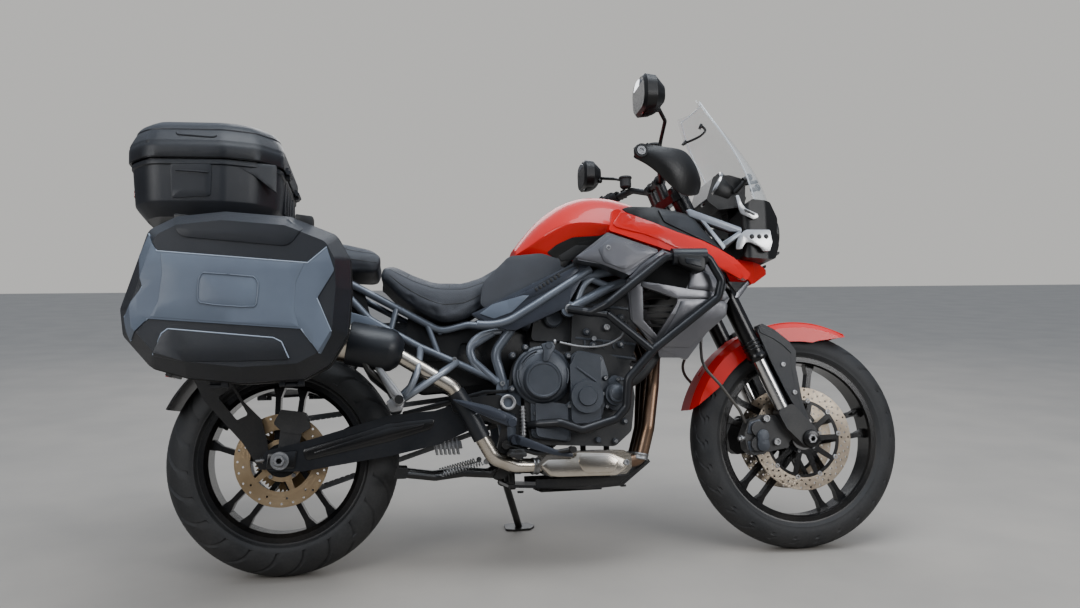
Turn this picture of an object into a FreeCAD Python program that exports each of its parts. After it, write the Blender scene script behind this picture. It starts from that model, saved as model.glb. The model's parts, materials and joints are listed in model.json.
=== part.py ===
import FreeCAD, Part
import math
import os
from FreeCAD import Placement, Rotation, Vector

# An adventure motorcycle with two side cases and a top case, parked on its side stand.
# Everything is modelled upright: x runs forward from the rear axle, y to the rider's
# left and z up from the ground. Each piece is then laid over by the parking lean.

doc = FreeCAD.newDocument("AdventureMotorcycle")
sheet = doc.addObject("Spreadsheet::Sheet", "Sizes")

# Driving sizes in millimetres and degrees: name, value, what it is
SIZES = (
    ("parking_lean", 12.0, "lean to the left on the side stand, degrees"),
    ("wheelbase", 1530.0, "rear axle to front axle"),
    ("rake", 23.9, "steering axis from the vertical, degrees"),
    ("fork_offset", 50.0, "front axle ahead of the steering axis"),
    ("leg_lead", 20.0, "fork leg centre ahead of the steering axis"),
    ("leg_spread", 102.0, "fork leg centre from the middle plane"),
    ("outer_tube_radius", 27.0, "black outer fork tube"),
    ("stanchion_radius", 21.5, "bright inner fork tube"),
    ("front_tyre_radius", 331.0, "front tyre over the tread"),
    ("front_tyre_width", 100.0, "front tyre section"),
    ("front_rim_radius", 241.0, "front bead seat"),
    ("rear_tyre_radius", 321.0, "rear tyre over the tread"),
    ("rear_tyre_width", 150.0, "rear tyre section"),
    ("rear_rim_radius", 218.5, "rear bead seat"),
    ("front_disc_radius", 154.0, "front brake disc"),
    ("front_disc_spread", 65.0, "front disc centre from the middle plane"),
    ("front_disc_thickness", 4.6, "front brake disc"),
    ("rear_disc_radius", 127.5, "rear brake disc"),
    ("rear_disc_spread", 84.0, "rear disc centre from the middle plane"),
    ("rear_disc_thickness", 5.0, "rear brake disc"),
    ("disc_clearance", 5.2, "caliper slot beside and over a disc"),
    ("axle_radius", 12.5, "both axles"),
    ("axle_bore_radius", 8.5, "hole through both hollow axles"),
    ("hub_bore_radius", 13.3, "wheel bearings round the axles"),
    ("spoke_pairs", 5, "pairs of spokes in each wheel"),
    ("spoke_spacing", 66.0, "middle to middle of the two spokes of a pair"),
    ("spoke_width", 15.0, "seen from the side"),
    ("pivot_height", 462.0, "swingarm pivot above the ground"),
    ("pivot_ahead", 625.0, "swingarm pivot ahead of the rear axle"),
    ("sprocket_radius", 98.0, "rear sprocket over the teeth"),
    ("sprocket_spread", 95.0, "chain line from the middle plane"),
    ("chain_clearance", 5.2, "fixed chain round the turning sprocket"),
    ("chain_links", 118, "links in the chain"),
    ("frame_tube_radius", 14.0, "main frame tubes"),
    ("subframe_tube_radius", 10.5, "rear subframe tubes"),
    ("rack_tube_radius", 8.5, "case rack tubes"),
    ("crash_tube_radius", 12.5, "crash bar tubes"),
    ("engine_half_width", 140.0, "crankcase without its covers"),
    ("clutch_drum_radius", 80.0, "clutch cover where it meets the crankcase"),
    ("clutch_shoulder_radius", 72.0, "clutch cover's middle step"),
    ("clutch_crown_radius", 54.0, "clutch cover's raised middle"),
    ("header_radius", 19.0, "exhaust header pipes"),
    ("silencer_radius", 55.0, "silencer shell"),
    ("panel_thickness", 4.0, "moulded body panels"),
    ("case_wall", 4.0, "walls of the luggage cases"),
    ("side_case_inner", 250.0, "inner face of a side case from the middle plane"),
    ("side_case_split", 398.0, "side case seam from the middle plane"),
    ("side_case_outer", 495.0, "outer face of a side case lid"),
    ("top_case_floor", 972.0, "underside of the top case"),
    ("top_case_split", 1120.0, "top case seam"),
    ("top_case_height", 1238.0, "crown of the top case lid"),
    ("top_case_half_width", 290.0, "half the width of the top case"),
    ("seam_gap", 0.5, "closed lid over its case"),
    ("hinge_radius", 6.0, "lid hinge barrels"),
    ("fender_clearance", 14.0, "front fender over the tyre"),
    ("fender_half_width", 66.0, "half the width of the front fender"),
    ("screen_thickness", 4.0, "windscreen"),
    ("handlebar_radius", 11.0, "handlebar tube"),
    ("grip_radius", 17.0, "rubber grips"),
    ("bar_end_spread", 400.0, "handlebar end from the middle plane"),
    ("side_stand_reach", 330.0, "side stand foot from the wheels' ground line"),
    ("side_stand_ahead", 705.0, "side stand foot ahead of the rear axle"),
)

for row, (name, value, note) in enumerate(SIZES, 1):
    sheet.set(f"A{row}", note)
    sheet.set(f"B{row}", str(value))
    sheet.setAlias(f"B{row}", name)
doc.recompute()


def size(name):
    return float(sheet.get(name))


LEAN = math.radians(size("parking_lean"))
RAKE = math.radians(size("rake"))
X_AXIS = Vector(1, 0, 0)
Y_AXIS = Vector(0, 1, 0)
Z_AXIS = Vector(0, 0, 1)

# A tyre's round crown has half its width as radius, and both tyres touch the ground
# when the upright frame is leaned over about its own ground line.
FRONT_CROWN = size("front_tyre_width") / 2
REAR_CROWN = size("rear_tyre_width") / 2
FRONT_AXLE = Vector(
    size("wheelbase"),
    0,
    size("front_tyre_radius") - FRONT_CROWN + FRONT_CROWN / math.cos(LEAN),
)
REAR_AXLE = Vector(0, 0, size("rear_tyre_radius") - REAR_CROWN + REAR_CROWN / math.cos(LEAN))
PIVOT = Vector(size("pivot_ahead"), 0, size("pivot_height"))

# The steering axis rises backwards, and the front axle lies ahead of it.
STEER_UP = Vector(-math.sin(RAKE), 0, math.cos(RAKE))
STEER_AHEAD = Vector(math.cos(RAKE), 0, math.sin(RAKE))
STEER_FOOT = FRONT_AXLE - STEER_AHEAD * size("fork_offset")
LEAN_OVER = Rotation(X_AXIS, -size("parking_lean"))
STRAIGHTEN = Rotation(X_AXIS, size("parking_lean"))

# Round parts that sit in each other keep this gap on the radius
SEAT_GAP = 0.3

PIECES = []


def fork_point(ahead, across, along):
    """A point given ahead of the steering axis, to the left and up along the axis."""
    return STEER_FOOT + STEER_AHEAD * ahead + Y_AXIS * across + STEER_UP * along


def piece(label, *solids):
    """Keep one named piece made of one or more solids that don't touch."""
    feature = doc.addObject("Part::Feature", label)
    feature.Label = label
    feature.Shape = Part.makeCompound(list(solids))
    PIECES.append((feature, Placement()))


def sheet_cylinder(label, start, end, radius_name):
    """A cylinder between two points whose radius and height the sheet drives."""
    start = Vector(*start)
    end = Vector(*end)
    cylinder = doc.addObject("Part::Cylinder", label)
    cylinder.setExpression("Radius", f"Sizes.{radius_name}")
    cylinder.Height = (end - start).Length
    cylinder.Placement = Placement(start, Rotation(Z_AXIS, end - start))
    return cylinder


def sheet_piece(label, kind, members):
    """Keep one named piece joined from sheet-driven primitives."""
    joined = doc.addObject(kind, label)
    joined.Label = label
    setattr(joined, "Links" if kind == "Part::Compound" else "Shapes", members)
    doc.recompute()
    PIECES.append((joined, Placement()))
    return joined.Shape.copy()


def mirrored(shape):
    return shape.mirror(Vector(0, 0, 0), Y_AXIS)


def unit(vector):
    return Vector(vector).normalize()


def corner_arc(before, corner, after, radius):
    """Start, middle and end of the arc that rounds one corner, or None where it is straight."""
    back = before - corner
    on = after - corner
    half = back.getAngle(on) / 2
    if half > 1.53 or radius <= 0:
        return None
    reach = min(radius / math.tan(half), 0.48 * back.Length, 0.48 * on.Length)
    bulge = reach * math.tan(half)
    inward = unit(unit(back) + unit(on))
    middle = corner + inward * (bulge / math.sin(half) - bulge)
    return corner + unit(back) * reach, middle, corner + unit(on) * reach


def rounded_loop(corners, radius):
    """A closed flat wire through the corners, each one rounded."""
    count = len(corners)
    stops = []
    for index, corner in enumerate(corners):
        arc = corner_arc(corners[index - 1], corner, corners[(index + 1) % count], radius)
        stops.append(arc or (corner, None, corner))
    edges = []
    for index, (start, middle, end) in enumerate(stops):
        last = stops[index - 1][2]
        if (start - last).Length > 0.001:
            edges.append(Part.LineSegment(last, start).toShape())
        if middle:
            edges.append(Part.Arc(start, middle, end).toShape())
    return Part.Wire(edges)


def open_path(points, bend):
    """Straight runs joined by tangent arcs."""
    edges = []
    last = points[0]
    for index in range(1, len(points) - 1):
        arc = corner_arc(points[index - 1], points[index], points[index + 1], bend)
        if arc is None:
            continue
        start, middle, end = arc
        if (start - last).Length > 0.001:
            edges.append(Part.LineSegment(last, start).toShape())
        edges.append(Part.Arc(start, middle, end).toShape())
        last = end
    edges.append(Part.LineSegment(last, points[-1]).toShape())
    return Part.Wire(edges)


def tube(points, radius, bend=60.0, bore=0.0):
    """A bent tube through the points, hollow when it has a bore."""
    points = [Vector(*point) for point in points]
    path = open_path(points, bend)
    start = points[1] - points[0]
    solid = path.makePipe(Part.Face(Part.Wire(Part.makeCircle(radius, points[0], start))))
    if bore:
        core = path.makePipe(Part.Face(Part.Wire(Part.makeCircle(bore, points[0], start))))
        solid = solid.cut(core)
    return solid


def rod(start, end, radius):
    start = Vector(*start)
    end = Vector(*end)
    return Part.makeCylinder(radius, (end - start).Length, start, end - start)


def slab(outline, y_low, y_high, corner=0.0):
    """A side outline of x and z, given thickness across the machine."""
    loop = [Vector(x, y_low, z) for x, z in outline]
    return Part.Face(rounded_loop(loop, corner)).extrude(Y_AXIS * (y_high - y_low))


def plan_slab(outline, z_low, z_high, corner=0.0):
    """A plan outline of x and y, given height."""
    loop = [Vector(x, y, z_low) for x, y in outline]
    return Part.Face(rounded_loop(loop, corner)).extrude(Z_AXIS * (z_high - z_low))


def ring(centre, axis, outer, inner, length):
    """A ring whose middle lies at its centre."""
    start = centre - axis * (length / 2)
    body = Part.makeCylinder(outer, length, start, axis)
    return body.cut(Part.makeCylinder(inner, length, start, axis))


def disc(centre, axis, radius, length):
    return Part.makeCylinder(radius, length, centre - axis * (length / 2), axis)


def cross_section(x, low, middle, high, corner):
    """A rounded six-cornered section across the machine; each level is half width and z."""
    loop = []
    for half, z in (low, middle, high):
        loop.append(Vector(x, half, z))
    for half, z in (high, middle, low):
        loop.append(Vector(x, -half, z))
    return rounded_loop(loop, corner)


def solids_of(shape, least=0.02):
    """The solids of a shape without the slivers that a cut can leave."""
    volumes = [solid.Volume for solid in shape.Solids]
    return [solid for solid in shape.Solids if solid.Volume > least * max(volumes)]


def carve(shape, *others):
    """Cut the neighbours out of a shape, so that they meet face to face."""
    return Part.makeCompound(solids_of(shape.cut(list(others))))


def fuse(first, *others):
    return first.multiFuse(list(others)).removeSplitter()


def turned_body(label, profile, axle, steps=None):
    """A body turned about the wheel axis; the profile lists distance across and radius."""
    body = doc.addObject("PartDesign::Body", label)
    body.Label = label
    plane = next(item for item in body.Origin.OriginFeatures if item.Role == "YZ_Plane")
    sketch = body.newObject("Sketcher::SketchObject", label + "_profile")
    sketch.AttachmentSupport = (plane, "")
    sketch.MapMode = "FlatFace"
    count = len(profile)
    for index in range(count):
        across, radius = profile[index]
        across_next, radius_next = profile[(index + 1) % count]
        if steps and index in steps:
            bulge_across, bulge_radius = steps[index]
            arc = Part.Arc(
                Vector(across, radius, 0),
                Vector(bulge_across, bulge_radius, 0),
                Vector(across_next, radius_next, 0),
            )
            sketch.addGeometry(arc, False)
        else:
            line = Part.LineSegment(
                Vector(across, radius, 0), Vector(across_next, radius_next, 0)
            )
            sketch.addGeometry(line, False)
    turn = body.newObject("PartDesign::Revolution", label + "_turn")
    turn.Profile = sketch
    turn.ReferenceAxis = (sketch, ["H_Axis"])
    turn.Angle = 360.0
    body.Tip = turn
    PIECES.append((body, Placement(axle, Rotation())))
    return body


def polar(radius, degrees):
    angle = math.radians(degrees)
    return radius * math.cos(angle), radius * math.sin(angle)


# Wheels: tyre, rim with paired spokes and discs

def make_tyre(label, axle, radius, width, bead):
    """A round-crowned tyre that holds the rim's flanges between its beads."""
    half = width / 2
    crown_centre = radius - half
    seat = half * 0.72
    lip = seat + 6
    flange = bead + 13
    leg = 0.7071 * half
    profile = (
        (-seat, bead),
        (seat, bead),
        (seat, flange),
        (lip, flange),
        (half, crown_centre),
        (leg, crown_centre + leg),
        (0, radius),
        (-leg, crown_centre + leg),
        (-half, crown_centre),
        (-lip, flange),
        (-seat, flange),
    )
    crown = {
        4: (0.9239 * half, crown_centre + 0.3827 * half),
        5: (0.3827 * half, crown_centre + 0.9239 * half),
        6: (-0.3827 * half, crown_centre + 0.9239 * half),
        7: (-0.9239 * half, crown_centre + 0.3827 * half),
    }
    turned_body(label, profile, axle, crown)


def spoke_pair(axle, hub, inner, pair_angle, half_depth):
    """Two near-parallel spokes that run from the hub into the rim."""
    spacing = size("spoke_spacing") / 2
    wide = size("spoke_width") / 2
    spokes = []
    for offset in (-spacing, spacing):
        outline = (
            (hub * 0.45, offset * 0.75 - wide),
            (inner - 26, offset - wide),
            (inner + 6, offset - wide - 9),
            (inner + 6, offset + wide + 9),
            (inner - 26, offset + wide),
            (hub * 0.45, offset * 0.75 + wide),
        )
        spoke = slab(outline, -half_depth, half_depth)
        spoke.rotate(Vector(0, 0, 0), Y_AXIS, -pair_angle)
        spoke.translate(axle)
        spokes.append(spoke)
    return spokes


def rim_shape(axle, bead, width, inner, hub, hub_low, hub_high, first_pair, half_depth):
    """Rim barrel, hub and spokes as one casting."""
    half = width / 2
    seat = half * 0.72
    lip = seat + 6
    flange = bead + 13
    drop = half * 0.42
    half_profile = (
        (seat, bead),
        (seat, flange),
        (lip - 0.5, flange),
        (lip - 0.5, bead - 6),
        (drop + 14, inner + 2),
    )
    outline = [(y, r) for y, r in half_profile]
    outline += [(-y, r) for y, r in reversed(half_profile)]
    outline += [(-drop, bead), (drop, bead)]
    loop = [Vector(0, y, r) for y, r in outline]
    face = Part.Face(Part.makePolygon(loop + loop[:1]))
    barrel = face.revolve(Vector(0, 0, 0), Y_AXIS, 360)
    barrel.translate(axle)
    hub_body = Part.makeCylinder(
        hub, hub_high - hub_low, axle + Y_AXIS * hub_low, Y_AXIS
    )
    spokes = []
    for index in range(int(size("spoke_pairs"))):
        angle = first_pair + 360.0 / size("spoke_pairs") * index
        spokes += spoke_pair(axle, hub, inner, angle, half_depth)
    casting = barrel.multiFuse([hub_body] + spokes)
    bore = Part.makeCylinder(
        size("hub_bore_radius"), hub_high - hub_low, axle + Y_AXIS * hub_low, Y_AXIS
    )
    return casting.cut(bore)


def drilled_disc(centre, outer, inner, thickness, rows):
    """A brake rotor; the rows list radius, count, hole radius and first angle."""
    rotor = ring(centre, Y_AXIS, outer, inner, thickness)
    holes = []
    for radius, count, hole, first in rows:
        for index in range(count):
            x, z = polar(radius, first + 360.0 * index / count)
            holes.append(disc(centre + Vector(x, 0, z), Y_AXIS, hole, thickness * 2))
    return rotor.cut(holes)


def disc_carrier(centre, outer, inner, thickness, arms):
    """The spider between a rotor and its hub."""
    rim = ring(centre, Y_AXIS, outer, outer - 9, thickness)
    nave = ring(centre, Y_AXIS, inner + 12, inner, thickness)
    spider = [rim, nave]
    for index in range(arms):
        outline = ((inner + 4, -9), (outer - 4, -4), (outer - 4, 10), (inner + 4, 9))
        arm = slab(outline, -thickness / 2, thickness / 2)
        arm.rotate(Vector(0, 0, 0), Y_AXIS, 360.0 * index / arms)
        arm.translate(centre)
        spider.append(arm)
    return spider[0].multiFuse(spider[1:])


FRONT_HUB = 34.0
REAR_HUB = 46.0
FRONT_INNER = size("front_rim_radius") - 13
REAR_INNER = size("rear_rim_radius") - 19
DISC_PACK = size("front_disc_spread") + size("front_disc_thickness") / 2
REAR_DISC_PACK = size("rear_disc_spread") + size("rear_disc_thickness") / 2

make_tyre("front_tyre", FRONT_AXLE, size("front_tyre_radius"), size("front_tyre_width"),
          size("front_rim_radius"))
make_tyre("rear_tyre", REAR_AXLE, size("rear_tyre_radius"), size("rear_tyre_width"),
          size("rear_rim_radius"))

front_rim = rim_shape(
    FRONT_AXLE, size("front_rim_radius"), size("front_tyre_width"), FRONT_INNER,
    FRONT_HUB, -DISC_PACK, DISC_PACK, 10.4, 14.0)
front_carriers = []
front_rotors = []
for side in (-1, 1):
    centre = FRONT_AXLE + Y_AXIS * side * size("front_disc_spread")
    rotor_inner = size("front_disc_radius") - 38
    front_rotors.append(drilled_disc(
        centre, size("front_disc_radius"), rotor_inner, size("front_disc_thickness"),
        ((147, 30, 3.2, 0), (136, 30, 3.2, 6), (125, 30, 3.2, 0))))
    front_carriers.append(disc_carrier(
        centre, rotor_inner, FRONT_HUB, size("front_disc_thickness"), 10))
piece("front_rim", front_rim)
piece("front_disc_carriers", *front_carriers)
piece("front_discs", *front_rotors)

rear_rim = rim_shape(
    REAR_AXLE, size("rear_rim_radius"), size("rear_tyre_width"), REAR_INNER,
    REAR_HUB, -REAR_DISC_PACK, 88.0, 85.0, 22.0)
rear_disc_centre = REAR_AXLE - Y_AXIS * size("rear_disc_spread")
rear_rotor = drilled_disc(
    rear_disc_centre, size("rear_disc_radius"), size("rear_disc_radius") - 34,
    size("rear_disc_thickness"), ((118, 24, 3.2, 0), (104, 12, 3.2, 8)))
rear_carrier = disc_carrier(
    rear_disc_centre, size("rear_disc_radius") - 34, REAR_HUB,
    size("rear_disc_thickness"), 5)
piece("rear_rim", rear_rim)
piece("rear_disc", fuse(rear_rotor, rear_carrier))


def toothed_wheel(centre, outer, root, teeth, thickness, bore):
    """A sprocket outline of straight-flanked teeth."""
    loop = []
    for index in range(teeth):
        pitch = 360.0 / teeth
        for share, radius in ((0.12, root), (0.38, outer), (0.62, outer), (0.88, root)):
            x, z = polar(radius, pitch * (index + share))
            loop.append(centre + Vector(x, -thickness / 2, z))
    wheel = Part.Face(Part.makePolygon(loop + loop[:1])).extrude(Y_AXIS * thickness)
    return wheel.cut(disc(centre, Y_AXIS, bore, thickness * 2))


sprocket_centre = REAR_AXLE + Y_AXIS * size("sprocket_spread")
rear_sprocket = toothed_wheel(
    sprocket_centre, size("sprocket_radius"), size("sprocket_radius") - 8, 50, 7.0, 56.0)
sprocket_carrier = Part.makeCylinder(78, 12, REAR_AXLE + Y_AXIS * 76, Y_AXIS)
carrier_nose = Part.makeCylinder(60, 12, REAR_AXLE + Y_AXIS * 88, Y_AXIS)
carrier_bore = Part.makeCylinder(
    size("hub_bore_radius"), 60, REAR_AXLE + Y_AXIS * 60, Y_AXIS)
hub_room = Part.makeCylinder(REAR_HUB, 12, REAR_AXLE + Y_AXIS * 76, Y_AXIS)
sprocket_drum = fuse(sprocket_carrier, carrier_nose).cut([carrier_bore, hub_room])
piece("rear_sprocket", fuse(rear_sprocket, sprocket_drum))

# Front fork, built along the steering axis

CLAMP_TOP = 117.0
TUBE_FOOT = 279.0
TUBE_TOP = 846.0
LOWER_YOKE = (572.0, 612.0)
UPPER_YOKE = (812.0, 836.0)
HEAD_TUBE = (626.0, 798.0)
LEG_LEAD = size("leg_lead")
LEG_SPREAD = size("leg_spread")
OUTER_TUBE = size("outer_tube_radius")

outer_tubes = []
stanchion_rods = []
clamps = []
for side in (-1, 1):
    spread = side * LEG_SPREAD
    outer_tubes.append(rod(
        fork_point(LEG_LEAD, spread, TUBE_FOOT), fork_point(LEG_LEAD, spread, TUBE_TOP),
        OUTER_TUBE))
    stanchion_rods.append(sheet_cylinder(
        f"stanchion_{side + 1}", fork_point(LEG_LEAD, spread, CLAMP_TOP),
        fork_point(LEG_LEAD, spread, TUBE_FOOT), "stanchion_radius"))
    # Casting outline: ahead of the axis and up along it
    casting_outline = (
        (-6, CLAMP_TOP), (46, CLAMP_TOP), (78, 22), (74, -20), (40, -28), (22, -8), (-4, 60))
    corners = [fork_point(a, side * 76.0, s) for a, s in casting_outline]
    casting = Part.Face(rounded_loop(corners, 12)).extrude(Y_AXIS * side * 50)
    lug_outline = ((-8, 104), (-52, 128), (-74, 120), (-60, 40), (-20, 10), (10, 20))
    lug = Part.Face(rounded_loop(
        [fork_point(a, side * 84.0, s) for a, s in lug_outline], 8)).extrude(
            Y_AXIS * side * 14)
    clamps.append(fuse(casting, lug, rod(
        FRONT_AXLE + Y_AXIS * side * 76, FRONT_AXLE + Y_AXIS * side * 128, 26)))
front_axle = rod(FRONT_AXLE - Y_AXIS * 128, FRONT_AXLE + Y_AXIS * 128, size("axle_radius"))
axle_hole = rod(FRONT_AXLE - Y_AXIS * 130, FRONT_AXLE + Y_AXIS * 130, size("axle_bore_radius"))
axle_clamps = fuse(front_axle, *clamps).cut(axle_hole)
sheet_piece("fork_stanchions", "Part::Compound", stanchion_rods)
piece("axle_clamps", axle_clamps)


def yoke(low, high):
    """A fork clamp plate between the two legs, along the steering axis."""
    outline = (
        (-36, -34), (-36, 34), (-12, 126), (12, 137), (38, 131), (51, 110), (50, 82), (24, 40),
        (24, -40), (50, -82), (51, -110), (38, -131), (12, -137), (-12, -126))
    corners = [fork_point(a, y, low) for a, y in outline]
    return Part.Face(rounded_loop(corners, 12)).extrude(STEER_UP * (high - low))


STEM_RADIUS = 15.0
stem = rod(fork_point(0, 0, LOWER_YOKE[0]), fork_point(0, 0, UPPER_YOKE[1] + 8), STEM_RADIUS)
legs = Part.makeCompound(outer_tubes)


def fork_sweep(inner, outer, start, turn, low, high):
    """The room that the turning fork needs, from one angle ahead of the axis on round."""
    way = STEER_AHEAD * math.cos(math.radians(start)) + Y_AXIS * math.sin(math.radians(start))
    corners = []
    for reach, along in ((inner, low), (outer, low), (outer, high), (inner, high)):
        corners.append(STEER_FOOT + way * reach + STEER_UP * along)
    section = Part.Face(Part.makePolygon(corners + corners[:1]))
    return section.revolve(STEER_FOOT, STEER_UP, turn)


yokes = fuse(yoke(*LOWER_YOKE), yoke(*UPPER_YOKE), stem).cut(legs)
fork_legs = fuse(yokes, *outer_tubes)
piece("fork_legs", *solids_of(fork_legs))

# Handlebar, grips and controls

BAR_END = size("bar_end_spread")
BAR_RADIUS = size("handlebar_radius")
BAR_POINTS = (
    (1125, 0, 1132), (1125, 78, 1132), (1098, 165, 1162), (1045, 262, 1152),
    (976, BAR_END, 1125))
# The bar line, right half to left half
bar_line = [(x, -y, z) for x, y, z in reversed(BAR_POINTS)] + list(BAR_POINTS[1:])
handlebar = tube(bar_line, BAR_RADIUS, 45)
risers = []
for side in (-1, 1):
    foot = fork_point(0, side * 45, UPPER_YOKE[1])
    top = Vector(1125, side * 45, 1132)
    risers.append(rod(foot, top, 17))
    risers.append(disc(top, Y_AXIS, 19, 30))
handlebar = fuse(handlebar, *risers).cut(yoke(*UPPER_YOKE))
piece("handlebar", *solids_of(handlebar.cut(yokes)))

grip_start = Vector(*BAR_POINTS[3])
grip_end = Vector(*BAR_POINTS[4])
grip_way = unit(grip_end - grip_start)
grips = []
controls = []
guards = []
for side in (-1, 1):
    def place(point, side=side):
        return Vector(point.x, point.y * side, point.z)

    inner = grip_end - grip_way * 128
    grip = rod(place(inner), place(grip_end + grip_way * 2), size("grip_radius"))
    bar_core = rod(place(inner), place(grip_end), BAR_RADIUS + SEAT_GAP)
    grips.append(grip.cut(bar_core))
    switch_a = grip_end - grip_way * 170
    switch = rod(place(switch_a), place(inner - grip_way * 1), 24)
    perch = rod(place(switch_a - grip_way * 26), place(switch_a), 17)
    ahead_way = Vector(0.93, 0.0, 0.1)
    knuckle = switch_a - grip_way * 10 + ahead_way * 30
    lever_mid = grip_end - grip_way * 70 + ahead_way * 62
    lever_tip = grip_end - grip_way * 6 + ahead_way * 58
    lever = tube([place(knuckle - ahead_way * 8), place(lever_mid), place(lever_tip)], 6, 40)
    arm = rod(place(switch_a - grip_way * 12), place(knuckle), 9)
    stalk = tube([place(Vector(1078, 208, 1160)), place(Vector(1086, 222, 1212)),
                  place(Vector(1076, 305, 1240)), place(Vector(1032, 376, 1262))], 5.5, 30)
    boss = rod(place(Vector(1078, 208, 1148)), place(Vector(1078, 208, 1172)), 11)
    parts = fuse(switch, perch, arm, lever)
    controls.append(parts.cut([handlebar, rod(place(switch_a - grip_way * 40),
                                              place(grip_end), BAR_RADIUS + SEAT_GAP)]))
    guards.append((stalk, boss))
piece("hand_controls", *grips, *[solids_of(item)[0] for item in controls])

mirrors = []
for side in (-1, 1):
    # Sections of the mirror shell: x, half width, half height
    shells = []
    for x, half_width, half_height in ((974, 62, 42), (982, 72, 49), (1010, 68, 46), (1040, 34, 24)):
        middle = Vector(x, side * 402, 1276)
        loop = [
            middle + Vector(0, -half_width, -half_height),
            middle + Vector(0, half_width, -half_height),
            middle + Vector(0, half_width, half_height),
            middle + Vector(0, -half_width, half_height)]
        shells.append(rounded_loop(loop, half_height * 0.8))
    head = Part.makeLoft(shells, True, True)
    stalk, boss = guards[0 if side < 0 else 1]
    mirrors.append(fuse(head, stalk, boss))
mirror_solids = []
for mirror in mirrors:
    mirror_solids += solids_of(mirror.cut([handlebar] + controls))
piece("mirrors", *mirror_solids)

# Handguards wrap from the bar ends to the front of the levers

GUARD_PLAN = ((966, 404), (1064, 420), (1150, 372), (1176, 292), (1168, 290), (1142, 364),
              (1060, 411), (966, 396))
GUARD_SIDE = ((950, 1100), (958, 1138), (984, 1148), (1060, 1136), (1130, 1122), (1172, 1086),
              (1190, 1040), (1150, 1010), (1090, 1030), (1020, 1064))
plan = plan_slab([(x, y) for x, y in GUARD_PLAN], 1000, 1170)
guard = plan.common(slab(GUARD_SIDE, 280, 440, 20))
guard_bar = rod(grip_end + grip_way * 2, grip_end + grip_way * 24, 14)
guard_left = fuse(guard, guard_bar)
guard_left = Part.makeCompound(solids_of(guard_left.cut(grips[1])))
piece("handguards", guard_left, mirrored(guard_left))

# Front fender, carried by the guards on the axle clamps

FENDER_IN = size("front_tyre_radius") + size("fender_clearance")
FENDER_HALF = size("fender_half_width")
SHEET = size("panel_thickness")
FENDER_PROFILE = (
    (-FENDER_HALF, 296), (-FENDER_HALF, FENDER_IN - 6), (-FENDER_HALF + 24, FENDER_IN + 12),
    (FENDER_HALF - 24, FENDER_IN + 12), (FENDER_HALF, FENDER_IN - 6), (FENDER_HALF, 296),
    (FENDER_HALF - SHEET, 296), (FENDER_HALF - SHEET, FENDER_IN - 7),
    (FENDER_HALF - 25, FENDER_IN + 12 - SHEET), (-FENDER_HALF + 25, FENDER_IN + 12 - SHEET),
    (-FENDER_HALF + SHEET, FENDER_IN - 7), (-FENDER_HALF + SHEET, 296))
loop = [Vector(0, y, r) for y, r in FENDER_PROFILE]
arch = Part.Face(Part.makePolygon(loop + loop[:1]))
fender = arch.revolve(Vector(0, 0, 0), Y_AXIS, 110)
fender.rotate(Vector(0, 0, 0), Y_AXIS, -80)
fender.translate(FRONT_AXLE)
FENDER_SIDE = ((1700, 640), (1600, 628), (1500, 600), (1450, 590), (1350, 556), (1285, 500),
               (1240, 465), (1190, 428), (1120, 428), (1120, 760), (1700, 760))
fender = fender.common(slab(FENDER_SIDE, -90, 90))
ears = []
for side in (-1, 1):
    ear_outline = ((1428, 600), (1470, 596), (1480, 624), (1440, 636))
    low, high = sorted((side * (FENDER_HALF - 1), side * 76.0))
    ears.append(slab(ear_outline, low, high))
piece("front_fender", fuse(fender, *ears))

GUARD_OUTLINE = ((1392, 684), (1440, 660), (1484, 624), (1504, 594), (1500, 545), (1514, 440),
                 (1536, 372), (1508, 352), (1484, 430), (1400, 610))
fork_guard = slab(GUARD_OUTLINE, 76, 120, 8)
leg_room = rod(fork_point(LEG_LEAD, LEG_SPREAD, 60), fork_point(LEG_LEAD, LEG_SPREAD, 700),
               OUTER_TUBE + 3)
inner_room = slab(((1420, 640), (1470, 610), (1488, 545), (1500, 450), (1488, 430), (1400, 610)),
                  80, 112, 4)
fork_guard = Part.makeCompound(solids_of(fork_guard.cut([leg_room, axle_clamps, inner_room])))
piece("fork_guards", fork_guard, mirrored(fork_guard))

# Front brake calipers and hoses

CALIPER_OUTLINE = ((1340, 306), (1334, 352), (1352, 392), (1386, 402), (1410, 380), (1412, 318),
                   (1396, 292), (1362, 288))
slot_low = size("front_disc_spread") - size("front_disc_thickness") / 2 - size("disc_clearance")
slot_high = size("front_disc_spread") + size("front_disc_thickness") / 2 + size("disc_clearance")
caliper = slab(CALIPER_OUTLINE, 49, 98, 10)
disc_room = Part.makeCylinder(
    size("front_disc_radius") + size("disc_clearance"), slot_high - slot_low,
    FRONT_AXLE + Y_AXIS * slot_low, Y_AXIS)
carrier_room = Part.makeCylinder(118, 40, FRONT_AXLE + Y_AXIS * 40, Y_AXIS)
caliper_arms = [slab(((1396, 374), (1402, 396), (1476, 426), (1486, 398)), 84, 98, 5),
                slab(((1398, 296), (1398, 322), (1474, 338), (1470, 308)), 84, 98, 5)]
pistons = [disc(Vector(1372, 103, 322), Y_AXIS, 22, 14), disc(Vector(1376, 103, 366), Y_AXIS, 22, 14)]
caliper = fuse(caliper, *caliper_arms, *pistons).cut([disc_room, carrier_room, axle_clamps, outer_tubes[1]])
front_caliper = Part.makeCompound(solids_of(caliper))
piece("front_calipers", front_caliper, mirrored(front_caliper))

HOSE_RADIUS = 4.5
hoses = []
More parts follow.
